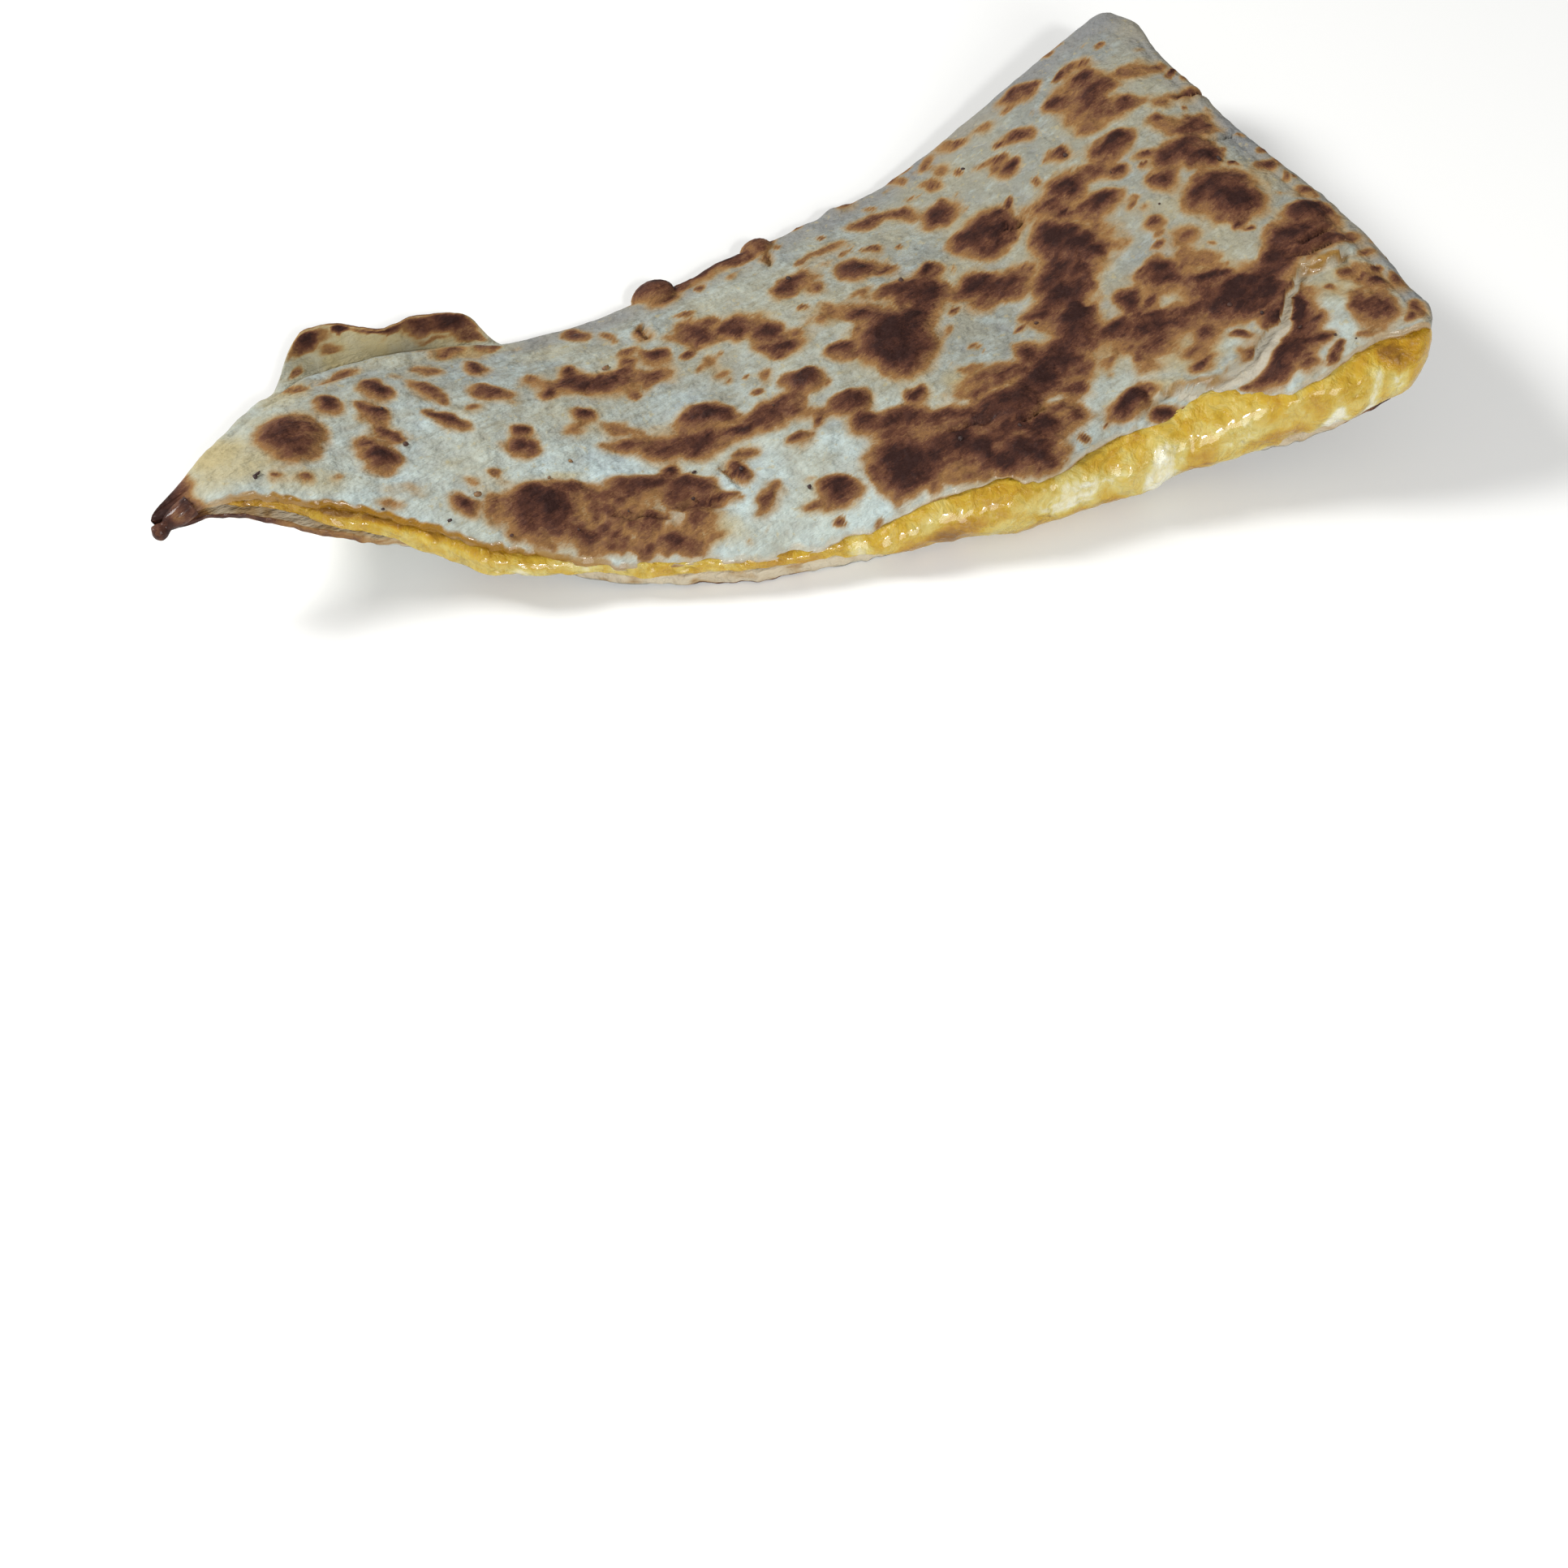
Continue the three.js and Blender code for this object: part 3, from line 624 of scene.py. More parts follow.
    wash_contrast: float = 0.95

    def warped(self, x: Array, y: Array) -> tuple[Array, Array]:
        """Positions shaken by noise, so that no mark keeps a regular outline.

        Args:
            x, y: Plan positions.

        Returns:
            The shaken x and y.
        """
        coarse, fine = Grain(self.grain_seed), Grain(self.grain_seed + 1)
        (far, wide), (near, narrow) = self.coarse_shake, self.fine_shake
        dx = far * coarse.layered(x, y, wide, 2) + near * fine.layered(x, y, narrow, 2)
        dy = far * coarse.layered(x + 60, y - 35, wide, 2)
        dy = dy + near * fine.layered(x - 41, y + 77, narrow, 2)
        return x + dx, y + dy

    def scorch(self, x: Array, y: Array) -> Array:
        """How dark the griddle left the upper skin.

        Args:
            x, y: Plan positions.

        Returns:
            0 where the skin is pale, 1 where it is charred.
        """
        wx, wy = self.warped(x, y)
        body, halo = np.zeros_like(x), np.zeros_like(x)
        for mark in self.scorches:
            cover = mark.grown(0.0, self.core_slip * mark.width).cover(wx, wy, *self.body_fade)
            body = np.maximum(body, cover) + 0.1 * np.minimum(body, cover)
            glow = mark.grown(self.halo_reach, -self.halo_slip * mark.width).cover(wx, wy, 0.2, 1.0)
            halo = np.maximum(halo, glow) + 0.3 * np.minimum(halo, glow)
        uneven = Grain(self.grain_seed + 9).layered(wx, wy, 2.4, 2)
        body = body * np.clip(0.94 + 0.46 * uneven, 0.42, 1.15)
        wash = np.zeros_like(x)
        for mark in self.washes:
            wash = np.maximum(wash, mark.cover(wx, wy, 0.25, 1.35))
        leopard = Grain(self.grain_seed + 8).layered(wx, wy, 2.5, 3)
        toasted = wash * np.clip(self.wash_level + self.wash_contrast * leopard, 0.34, 0.95)
        total = np.maximum(body, toasted) + 0.25 * np.minimum(body, toasted)
        total = total + self.halo_level * halo * (1.0 - total)
        return np.clip(self.speckled(total, wx, wy), 0.0, 1.0)

    def speckled(self, total: Array, wx: Array, wy: Array) -> Array:
        """Scatter small specks over the scorch.

        Args:
            total: The scorch so far.
            wx, wy: Shaken plan positions.

        Returns:
            The scorch with its specks.
        """
        rng = np.random.default_rng(self.grain_seed + 2)
        for _ in range(self.specks):
            px, py = rng.uniform(-84, 84), rng.uniform(-44, 44)
            size, turn = rng.uniform(0.45, 1.7), rng.uniform(-30, 60)
            strength = rng.uniform(0.12, 0.62) * ease(-30.0, 20.0, px + py + 20.0 + rng.uniform(-40, 40))
            spot = Blot(px, py, size * rng.uniform(1.0, 2.2), size, turn, float(strength))
            glow = spot.grown(1.8, -0.2).cover(wx, wy, 0.1, 1.0)
            total = np.maximum(total, spot.cover(wx, wy)) + 0.35 * glow * (1.0 - total)
        return total

    def dullness_and_shade(self, x: Array, y: Array) -> Array:
        """How much duller than floury white the upper skin is, with painted shade towards the back and the
        right.

        Args:
            x, y: Plan positions.

        Returns:
            Dullness from 0 to 1.
        """
        slow, quick = Grain(self.grain_seed + 12), Grain(self.grain_seed + 13)
        patchy = 0.26 * slow.layered(x * 0.8, y * 1.25, 6.5, 3)
        patchy = patchy + 0.12 * quick.layered(x * 0.7, y * 1.3, 1.7, 2)
        # painted shade: the skin is painted darker towards the back of the wedge and towards its right
        away = 0.62 * ease(-42.0, -8.0, y) + 0.3 * ease(-5.0, 40.0, x)
        return np.clip(0.14 + away + patchy, 0.0, 1.0)

    def cream(self, x: Array, y: Array) -> Array:
        """How creamy, rather than floury, the upper skin is.

        Args:
            x, y: Plan positions.

        Returns:
            Creaminess from 0 to 1.
        """
        wx, wy = self.warped(x, y)
        total = 0.16 + 0.34 * Grain(self.grain_seed + 3).layered(x, y, 9.0, 3)
        for mark in self.creams:
            total = np.maximum(total, mark.cover(wx, wy, 0.2, 1.4))
        return np.clip(total, 0.0, 1.0)

    def soak(self, x: Array, y: Array) -> Array:
        """How much yellow fat has soaked into the upper skin.

        Args:
            x, y: Plan positions.

        Returns:
            Wetness from 0 to 1.
        """
        wx, wy = self.warped(x, y)
        total = np.zeros_like(x)
        for mark in self.soaks:
            total = np.maximum(total, mark.cover(wx, wy, 0.5, 1.3))
        return total

    def tear_side(self, x: Array, y: Array) -> tuple[Array, Array]:
        """Where points lie relative to the tear in the upper skin.

        Args:
            x, y: Plan positions.

        Returns:
            The distance from the tear, positive on its slipped side, and the share of the way along it.
        """
        share = np.linspace(0.0, 1.0, 120)
        line = plan_curve(self.tear, share)
        jag = Grain(self.grain_seed + 4)
        shake = np.stack([jag.at(share * 26, share * 0), jag.at(share * 26, share * 0 + 9)], axis=-1)
        line = line + 0.55 * shake
        best, side, along = np.full(x.shape, 1e9), np.zeros(x.shape), np.zeros(x.shape)
        near = np.hypot(x - 63, y + 25) < 30
        qx, qy = x[near], y[near]
        b, s, a = best[near], side[near], along[near]
        for p, q, at in zip(line[:-1], line[1:], share):
            d = q - p
            t = np.clip(((qx - p[0]) * d[0] + (qy - p[1]) * d[1]) / (d @ d), 0.0, 1.0)
            gap = np.hypot(qx - p[0] - t * d[0], qy - p[1] - t * d[1])
            turn = np.sign(d[0] * (qy - p[1]) - d[1] * (qx - p[0]))
            closer = gap < b
            b, s, a = np.where(closer, gap, b), np.where(closer, turn, s), np.where(closer, at, a)
        best[near], side[near], along[near] = b, s, a
        return best * np.where(side > 0, 1.0, -1.0), along

    def relief(self, x: Array, y: Array, scorch: Array) -> Array:
        """Height of the upper skin's relief.

        Args:
            x, y: Plan positions.
            scorch: The skin's scorch at the same places.

        Returns:
            Height added to the skin, in millimetres.
        """
        slow, lumps, fine = (Grain(self.grain_seed + n) for n in (5, 6, 7))
        total = 0.36 * slow.layered(x, y, 13.0, 2) + 0.24 * lumps.layered(x, y, 3.4, 3)
        total += 0.1 * fine.layered(x, y, 1.3, 2) + 0.24 * ease(0.25, 0.95, scorch)
        for bx, by, radius, height in self.bumps:
            dome = np.clip(1.0 - ((x - bx) ** 2 + (y - by) ** 2) / radius**2, 0.0, 1.0)
            total += height * dome ** 0.8 * (1.0 + 0.25 * lumps.at(x / 1.1, y / 1.1))
        for cx, cy, length, width, turn in self.cracks:
            c, s = math.cos(math.radians(turn)), math.sin(math.radians(turn))
            along = (x - cx) * c + (y - cy) * s
            across = (y - cy) * c - (x - cx) * s + 0.55 * lumps.at(along / 1.6 + cx, along * 0 + 3)
            ends = 1.0 - ease(0.3, 0.5, np.abs(along) / length)
            total -= 0.85 * ends * np.exp(-((across / width) ** 2))
            total += 0.22 * ends * np.exp(-(((np.abs(across) - 2 * width) / (1.4 * width)) ** 2))
        distance, along = self.tear_side(x, y)
        ends = ease(0.0, 0.1, along) * (1.0 - ease(0.93, 1.0, along))
        slipped = ease(-0.25, 0.35, distance) * (1.0 - ease(2.0, 9.0, distance))
        curled = np.exp(-(((distance + 0.7) / 0.8) ** 2)) * (distance < 0.4)
        return total + ends * (0.4 * curled - 1.25 * slipped)

    def torn(self, x: Array, y: Array) -> Array:
        """How much of the torn inner crumb shows.

        Args:
            x, y: Plan positions.

        Returns:
            0 where the skin is whole, 1 where only crumb shows.
        """
        distance, along = self.tear_side(x, y)
        width = profile((0.4, 0.5, 0.7, 1.1, 1.9, 2.4, 2.2, 1.5, 0.6, 0.3), along)
        shown = ease(-0.15, 0.2, distance) * (1.0 - ease(width * 0.8, width * 1.3, distance))
        return shown * ease(0.02, 0.1, along) * (1.0 - ease(0.95, 1.0, along))


# ---- Mesh making ----


@dataclass
class Surface:
    """Points, faces and painted values of a piece, before it becomes an object."""

    points: Array
    quads: Array
    triangles: Array = field(default_factory=lambda: np.zeros((0, 3), dtype=int))
    paint: dict[str, Array] = field(default_factory=dict)

    def as_object(self, name: str) -> bpy.types.Object:
        """Make the object.

        Args:
            name: The object's name.

        Returns:
            The object, smooth shaded and linked to the scene.
        """
        mesh = bpy.data.meshes.new(name)
        corners = np.concatenate([self.quads.ravel(), self.triangles.ravel()]).astype(np.int32)
        sizes = np.concatenate([np.full(len(self.quads), 4), np.full(len(self.triangles), 3)])
        starts = np.concatenate([[0], np.cumsum(sizes)[:-1]]).astype(np.int32)
        mesh.vertices.add(len(self.points))
        mesh.vertices.foreach_set("co", (self.points * MM).astype(np.float32).ravel())
        mesh.loops.add(len(corners))
        mesh.loops.foreach_set("vertex_index", corners)
        mesh.polygons.add(len(sizes))
        mesh.polygons.foreach_set("loop_start", starts)
        mesh.polygons.foreach_set("use_smooth", np.ones(len(sizes), dtype=bool))
        mesh.update(calc_edges=True)
        mesh.validate()
        for key, values in self.paint.items():
            layer = mesh.attributes.new(key, "FLOAT", "POINT")
            layer.data.foreach_set("value", values.astype(np.float32).ravel())
        made = bpy.data.objects.new(name, mesh)
        bpy.context.scene.collection.objects.link(made)
        return made


def ring_loft(rings: Array, cap: Array) -> tuple[Array, Array]:
    """Faces of a closed loft through rings.

    Args:
        rings: Points with one row for each ring.
        cap: Triangles over one ring's own numbering, for its first end.

    Returns:
        The quads between rings, and the triangles of the two caps.
    """
    count, size = rings.shape[:2]
    j, i = np.meshgrid(np.arange(count - 1), np.arange(size), indexing="ij")
    after = (i + 1) % size
    quads = np.stack([j * size + i, (j + 1) * size + i, (j + 1) * size + after, j * size + after], axis=-1)
    far = cap[:, ::-1] + (count - 1) * size
    return quads.reshape(-1, 4), np.vstack([cap, far])


def rounded_ends(rings: Array, share: Array, run: float) -> Array:
    """Draw the ends of a loft in, so that they close roundly.

    Args:
        rings: The rings' points.
        share: Share of the way along the cut of each ring.
        run: Length of the closing, as a share of the cut.

    Returns:
        The rings, drawn in about their own middles.
    """
    inside = np.clip(np.minimum(share - share[0], share[-1] - share) / run, 0.0, 1.0)
    size = np.sqrt(np.clip(1.0 - (1.0 - inside) ** 2, 0.0064, 1.0))[:, None, None]
    middle = rings.mean(axis=1, keepdims=True)
    return middle + (rings - middle) * size


def strip_cap(outer: int, inner: int) -> Array:
    """Triangles between an outer run and, coming back, an inner run of another length.

    Args:
        outer: Number of points of the outer run, which comes first in the ring.
        inner: Number of points of the inner run.

    Returns:
        Triangles over the ring's numbering.
    """
    faces = []
    a, b = 0, 0
    last = outer + inner - 1
    while a < outer - 1 or b < inner - 1:
        if b == inner - 1 or (a < outer - 1 and (a + 1) / (outer - 1) <= (b + 1) / (inner - 1)):
            faces.append((a, a + 1, last - b))
            a += 1
        else:
            faces.append((a, last - b - 1, last - b))
            b += 1
    return np.array(faces)


# ---- Node tools ----


class NodeSheet:
    """A node tree with short calls that add and join nodes."""

    def __init__(self, tree: bpy.types.NodeTree) -> None:
        """Hold the tree."""
        self.tree = tree

    def feed(self, node: bpy.types.Node, inputs: dict[Any, Any]) -> None:
        """Set or join the inputs of a node.

        Args:
            node: The node.
            inputs: Socket name or number to a value, or to an output socket to join.
        """
        for key, value in inputs.items():
            if isinstance(value, Socket):
                self.tree.links.new(value, node.inputs[key])
            else:
                node.inputs[key].default_value = value

    def add(self, kind: str, inputs: dict[Any, Any] | None = None, **settings: Any) -> bpy.types.Node:
        """Add a node.

        Args:
            kind: The node's type name.
            inputs: Socket name or number to a value, or to an output socket to join.
            settings: Properties of the node.

        Returns:
            The node.
        """
        node = self.tree.nodes.new(kind)
        for name, value in settings.items():
            setattr(node, name, value)
        self.feed(node, inputs or {})
        return node

    def place(self, group: bpy.types.NodeTree, inputs: dict[str, Any]) -> bpy.types.Node:
        """Place a shared effect with its own values."""
        return self.add("ShaderNodeGroup", inputs, node_tree=group)

    def math(self, operation: str, a: Any, b: Any = 0.0, clamp: bool = False) -> Socket:
        """One sum of two values or sockets."""
        return self.add("ShaderNodeMath", {0: a, 1: b}, operation=operation, use_clamp=clamp).outputs[0]

    def vector(self, operation: str, inputs: dict[Any, Any]) -> Socket:
        """One sum of vectors."""
        return self.add("ShaderNodeVectorMath", inputs, operation=operation).outputs[0]

    def weighed(self, *terms: tuple[Any, float]) -> Socket:
        """Sum of sockets, each times its own weight.

        Args:
            terms: Socket and weight of each term.

        Returns:
            The sum.
        """
        total = None
        for value, weight in terms:
            part = self.math("MULTIPLY", value, weight)
            total = part if total is None else self.math("ADD", total, part)
        return total

    def noise(self, vector: Any, scale: Any, detail: float = 3.0, rough: float = 0.5) -> Socket:
        """Noise with lumps 1 / scale long."""
        inputs = {"Vector": vector, "Scale": scale, "Detail": detail, "Roughness": rough}
        return self.add("ShaderNodeTexNoise", inputs).outputs["Fac"]

    def about_zero(self, value: Any) -> Socket:
        """Noise or another value around a half, moved to lie around zero."""
        return self.math("SUBTRACT", value, 0.5)

    def mix(self, weight: Any, a: Any, b: Any) -> Socket:
        """Mix of two colours."""
        return self.add("ShaderNodeMix", {0: weight, 6: a, 7: b}, data_type="RGBA").outputs[2]

    def between(
        self, value: Any, low: float, high: float, to_low: float = 0.0, to_high: float = 1.0
    ) -> Socket:
        """Value stretched from low..high to to_low..to_high, smoothly, and held at the ends."""
        inputs = {"Value": value, 1: low, 2: high, 3: to_low, 4: to_high}
        return self.add("ShaderNodeMapRange", inputs, interpolation_type="SMOOTHSTEP").outputs[0]

    def ramp(self, value: Any, stops: Sequence[tuple[float, Tint]]) -> Socket:
        """Colours along a value.

        Args:
            value: The socket to colour by.
            stops: Position and colour of each stop, in order.

        Returns:
            The colour.
        """
        node = self.add("ShaderNodeValToRGB", {0: value})
        band = node.color_ramp
        while len(band.elements) < len(stops):
            band.elements.new(0.5)
        for element, (position, tint) in zip(band.elements, stops):
            element.position = position
            element.color = tint.rgba
        return node.outputs[0]

    def painted(self, name: str) -> Socket:
        """A value painted on the mesh."""
        return self.add("ShaderNodeAttribute", attribute_name=name).outputs["Fac"]

    def position(self) -> Socket:
        """The surface's position in millimetres, fixed to the food."""
        place = self.add("ShaderNodeTexCoord").outputs["Object"]
        return self.vector("SCALE", {0: place, "Scale": 1.0 / MM})

    def bump(self, height: Any, strength: float, distance: float) -> Socket:
        """Normals of a surface raised by a height, over a distance in metres."""
        inputs = {"Height": height, "Strength": strength, "Distance": distance}
        return self.add("ShaderNodeBump", inputs).outputs[0]


class Effects:
    """Effects that more than one finish uses, each built once as a node group."""

    streak_turn = math.radians(-24.0)
    streak_draw = (0.4, 1.3, 1.0)

    def __init__(self) -> None:
        """Build the groups."""
        self.grain = self.dough_grain()
        self.scorch = self.scorch_break()
        self.grease = self.grease_film()

    @staticmethod
    def blank(name: str, takes: dict[str, Any], gives: Sequence[str]) -> tuple[NodeSheet, Any, Any]:
        """An empty group with named sockets.

        Args:
            name: The group's name.
            takes: Input name to its starting value, or to None for a vector.
            gives: Names of the outputs.

        Returns:
            The group's sheet, its input node's outputs and its output node.
        """
        tree = bpy.data.node_groups.new(name, "ShaderNodeTree")
        for key, value in takes.items():
            kind = "NodeSocketVector" if value is None else "NodeSocketFloat"
            socket = tree.interface.new_socket(key, in_out="INPUT", socket_type=kind)
            if value is not None:
                socket.default_value = value
        for key in gives:
            tree.interface.new_socket(key, in_out="OUTPUT", socket_type="NodeSocketFloat")
        sheet = NodeSheet(tree)
        return sheet, sheet.add("NodeGroupInput").outputs, sheet.add("NodeGroupOutput")

    def dough_grain(self) -> bpy.types.NodeTree:
        """Floury lumps, drawn-out streaks and pores of baked dough.

        Returns:
            The group.
        """
        takes = {"Vector": None, "Size": 1.0, "Pores": 0.5}
        sheet, given, out = self.blank("dough_grain", takes, ("Height", "Mottle", "Streak"))
        size = sheet.add("ShaderNodeCombineXYZ", {n: given["Size"] for n in range(3)}).outputs[0]
        vector = sheet.vector("DIVIDE", {0: given["Vector"], 1: size})
        cells = sheet.add("ShaderNodeTexVoronoi", {"Vector": vector, "Scale": 0.42}).outputs["Distance"]
        sunk = sheet.math("MULTIPLY", sheet.between(cells, 0.04, 0.22, 1.0, 0.0), given["Pores"])
        turned = sheet.add(
            "ShaderNodeVectorRotate", {"Vector": vector, "Angle": self.streak_turn}, rotation_type="Z_AXIS"
        ).outputs[0]
        streak = sheet.noise(sheet.vector("MULTIPLY", {0: turned, 1: self.streak_draw}), 0.8, 3.0, 0.6)
        lumps, fibres = sheet.noise(vector, 0.4, 2.0, 0.45), sheet.noise(vector, 1.1, 2.0, 0.5)
        raised = sheet.weighed((lumps, 0.85), (fibres, 0.3), (streak, 0.8))
        sheet.feed(out, {
            "Height": sheet.math("SUBTRACT", raised, sunk),
            "Mottle": sheet.noise(vector, 0.3, 5.0, 0.65),
            "Streak": streak,
        })
        return sheet.tree

    def scorch_break(self) -> bpy.types.NodeTree:
        """A painted scorch broken up into uneven toasting, with pale wrinkles.

        Returns:
            The group.
        """
        takes = {"Vector": None, "Scorch": 0.0, "Streak": 0.5, "Break": 0.5, "Fleck": 0.2, "Wrinkle": 0.0}
        sheet, given, out = self.blank("scorch_break", takes, ("Toast",))
        vector, painted = given["Vector"], given["Scorch"]
        fine = sheet.about_zero(sheet.noise(vector, 2.2, 4.0, 0.65))
        streak = sheet.about_zero(given["Streak"])
        coarse = sheet.about_zero(sheet.noise(vector, 0.5, 4.0, 0.6))
        coarse = sheet.math("ADD", coarse, sheet.math("MULTIPLY", streak, 1.5))
        crest = sheet.between(sheet.math("ABSOLUTE", streak), 0.0, 0.03, 1.0, 0.0)
        shaken = sheet.math("MULTIPLY", coarse, given["Break"])
        shaken = sheet.math("SUBTRACT", shaken, sheet.math("MULTIPLY", crest, given["Wrinkle"]))
        shaken = sheet.math("ADD", shaken, sheet.math("MULTIPLY", fine, given["Fleck"]))
        change = sheet.math("MULTIPLY", shaken, sheet.between(painted, 0.08, 0.6))
        sheet.feed(out, {"Toast": sheet.math("ADD", painted, change, clamp=True)})
        return sheet.tree

    def grease_film(self) -> bpy.types.NodeTree:
        """Patchy shine of fat on a surface.

        Returns:
            The group.
        """
        takes = {"Vector": None, "Size": 1.0, "Dull": 0.8, "Shiny": 0.3, "Wetness": 0.0}
        sheet, given, out = self.blank("grease_film", takes, ("Roughness",))
        patches = sheet.noise(given["Vector"], sheet.math("DIVIDE", 0.6, given["Size"]), 4.0)
        wet = sheet.math("MULTIPLY", sheet.between(patches, 0.42, 0.66), 0.6)
        wet = sheet.math("MAXIMUM", wet, given["Wetness"])
        drop = sheet.math("MULTIPLY", wet, sheet.math("SUBTRACT", given["Dull"], given["Shiny"]))
        sheet.feed(out, {"Roughness": sheet.math("SUBTRACT", given["Dull"], drop)})
        return sheet.tree


# ---- Finishes ----


def start_material(name: str) -> tuple[bpy.types.Material, NodeSheet, bpy.types.Node]:
    """An empty material with its shader joined to its output.

    Args:
        name: The material's name.

    Returns:
        The material, its sheet of nodes and its shader node.
    """
    material = bpy.data.materials.new(name)
    material.use_nodes = True
    material.node_tree.nodes.clear()
    sheet = NodeSheet(material.node_tree)
    shader = sheet.add("ShaderNodeBsdfPrincipled")
    sheet.add("ShaderNodeOutputMaterial", {"Surface": shader.outputs[0]})
    return material, sheet, shader


@dataclass(frozen=True)
class TortillaFinish:
    """Dry flour tortilla: floury skin, griddle scorches, cut crumb, and fat where it has soaked in."""

    effects: Effects
    pores: float = 0.12
    bump_height: float = 0.001
    translucency: float = 0.06
    wet_gloss: float = 0.45
    burn: tuple[tuple[float, Tint], ...] = (
        (0.0, Tint.HALO), (0.13, Tint.HALO), (0.28, Tint.TOAST_PALE), (0.42, Tint.TOAST_LIGHT),
        (0.54, Tint.TOAST), (0.7, Tint.TOAST_DARK), (0.92, Tint.CHAR),
    )

    def material(self) -> bpy.types.Material:
        """Make the material.

        Returns:
            The material.
        """
        made, sheet, shader = start_material("tortilla_skin")
        place = sheet.position()
        grain = sheet.place(self.effects.grain, {"Vector": place, "Size": 1.0, "Pores": self.pores}).outputs
        soak = sheet.painted("soak")
        film = sheet.place(
            self.effects.grease, {"Vector": place, "Size": 2.0, "Dull": 0.82, "Shiny": 0.42, "Wetness": soak}
        )
        sheet.feed(shader, {
            "Base Color": self.griddled(sheet, place, grain),
            "Roughness": film.outputs["Roughness"],
            "Normal": sheet.bump(grain["Height"], 0.8, self.bump_height),
            "Subsurface Weight": self.translucency,
            "Subsurface Radius": (1.0, 0.7, 0.45),
            "Subsurface Scale": 0.0012,
            "Specular IOR Level": 0.12,
            "Coat Weight": sheet.math("MULTIPLY", soak, self.wet_gloss, clamp=True),
            "Coat Roughness": 0.12,
        })
        return made

    def griddled(self, sheet: NodeSheet, place: Any, grain: Any) -> Socket:
        """Colour of the skin with its scorches.

        Args:
            sheet: The material's nodes.
            place: The surface's position.
            grain: Outputs of the dough's grain.

        Returns:
            The colour.
        """
        toast = sheet.place(self.effects.scorch, {
            "Vector": place, "Scorch": sheet.painted("scorch"), "Streak": grain["Streak"],
            "Break": 0.4, "Fleck": 0.3, "Wrinkle": 0.12,
        }).outputs["Toast"]
        shown = sheet.between(toast, 0.02, 0.3)
        return sheet.mix(shown, self.bare(sheet, place, grain), sheet.ramp(toast, self.burn))

    @staticmethod
    def bare(sheet: NodeSheet, place: Any, grain: Any) -> Socket:
        """Colour of the skin without its scorches.

        Args:
            sheet: The material's nodes.
            place: The surface's position.
            grain: Outputs of the dough's grain.

        Returns:
            The colour.
        """
        mottle, streak = sheet.about_zero(grain["Mottle"]), sheet.about_zero(grain["Streak"])
        uneven = sheet.weighed((mottle, 1.5), (streak, 1.5))
        # painted shade: the painted dullness darkens the skin towards the back and the right, over random
        # duller patches
        dull_and_shade = sheet.math("ADD", sheet.painted("dull_and_shade"), uneven, clamp=True)
        colour = sheet.mix(dull_and_shade, Tint.FLOUR.rgba, Tint.FLOUR_SHADE.rgba)
        # painted shade: the dough's dimples, where its grain is low, are tinted pewter
        dimple_shade = sheet.between(grain["Height"], 0.98, 0.74, 0.0, 0.4)
        # painted greyness: torn crumb, and painted shade on the fold and the underside
        grey_and_shade = sheet.between(sheet.painted("grey_and_shade"), 0.0, 1.0, 0.0, 0.8)
        freckle = sheet.between(sheet.noise(place, 0.9, 3.0, 0.6), 0.58, 0.72, 0.0, 0.5)
        layers = (
            (dimple_shade, Tint.PEWTER), (grey_and_shade, Tint.PEWTER), (freckle, Tint.CREAM),
            (sheet.painted("cream"), Tint.CREAM), (sheet.painted("crumb"), Tint.CRUMB),
            (sheet.painted("soak"), Tint.OILED),
        )
        for weight, tint in layers:
            colour = sheet.mix(weight, colour, tint.rgba)
        return colour


@dataclass(frozen=True)
class CheeseFinish:
    """Melted cheese: yellow marbled with white and orange, glossy and a little see-through."""

    effects: Effects
    glow: float = 0.32
    bump_height: float = 0.0016
    marbling: tuple[tuple[float, Tint], ...] = (
        (0.0, Tint.CHEESE_WHITE), (0.24, Tint.CHEESE_PALE), (0.5, Tint.CHEESE_YELLOW),
        (0.76, Tint.CHEESE_ORANGE), (1.0, Tint.CHEESE_AMBER),
    )

    def material(self) -> bpy.types.Material:
        """Make the material.

        Returns:
            The material.
        """
        made, sheet, shader = start_material("melted_cheese")
        place = sheet.position()
        drift = sheet.add("ShaderNodeTexNoise", {"Vector": place, "Scale": 0.22, "Detail": 2.0})
        pull = sheet.vector("SCALE", {0: drift.outputs["Color"], "Scale": 5.0})
        swirled = sheet.vector("ADD", {0: place, 1: pull})
        streak = sheet.about_zero(sheet.noise(swirled, 0.34))
        fleck = sheet.about_zero(sheet.noise(swirled, 1.1))
        change = sheet.weighed((streak, 0.95), (fleck, 0.32))
        tone = sheet.math("ADD", sheet.painted("tone"), change, clamp=True)
        ripple = sheet.math("ADD", sheet.noise(place, 0.34, 1.0, 0.4), sheet.math("MULTIPLY", fleck, 0.4))
        film = sheet.place(
            self.effects.grease, {"Vector": place, "Size": 1.2, "Dull": 0.42, "Shiny": 0.16, "Wetness": 0.2}
        )
        sheet.feed(shader, {
            "Base Color": sheet.ramp(tone, self.marbling),
            "Roughness": film.outputs["Roughness"],
            "Normal": sheet.bump(ripple, 0.8, self.bump_height),
            "Subsurface Weight": self.glow,
            "Subsurface Radius": (1.0, 0.8, 0.4),
            "Subsurface Scale": 0.002,
            "Coat Weight": 0.5,
            "Coat Roughness": 0.08,
            "Specular IOR Level": 0.25,
        })
        return made


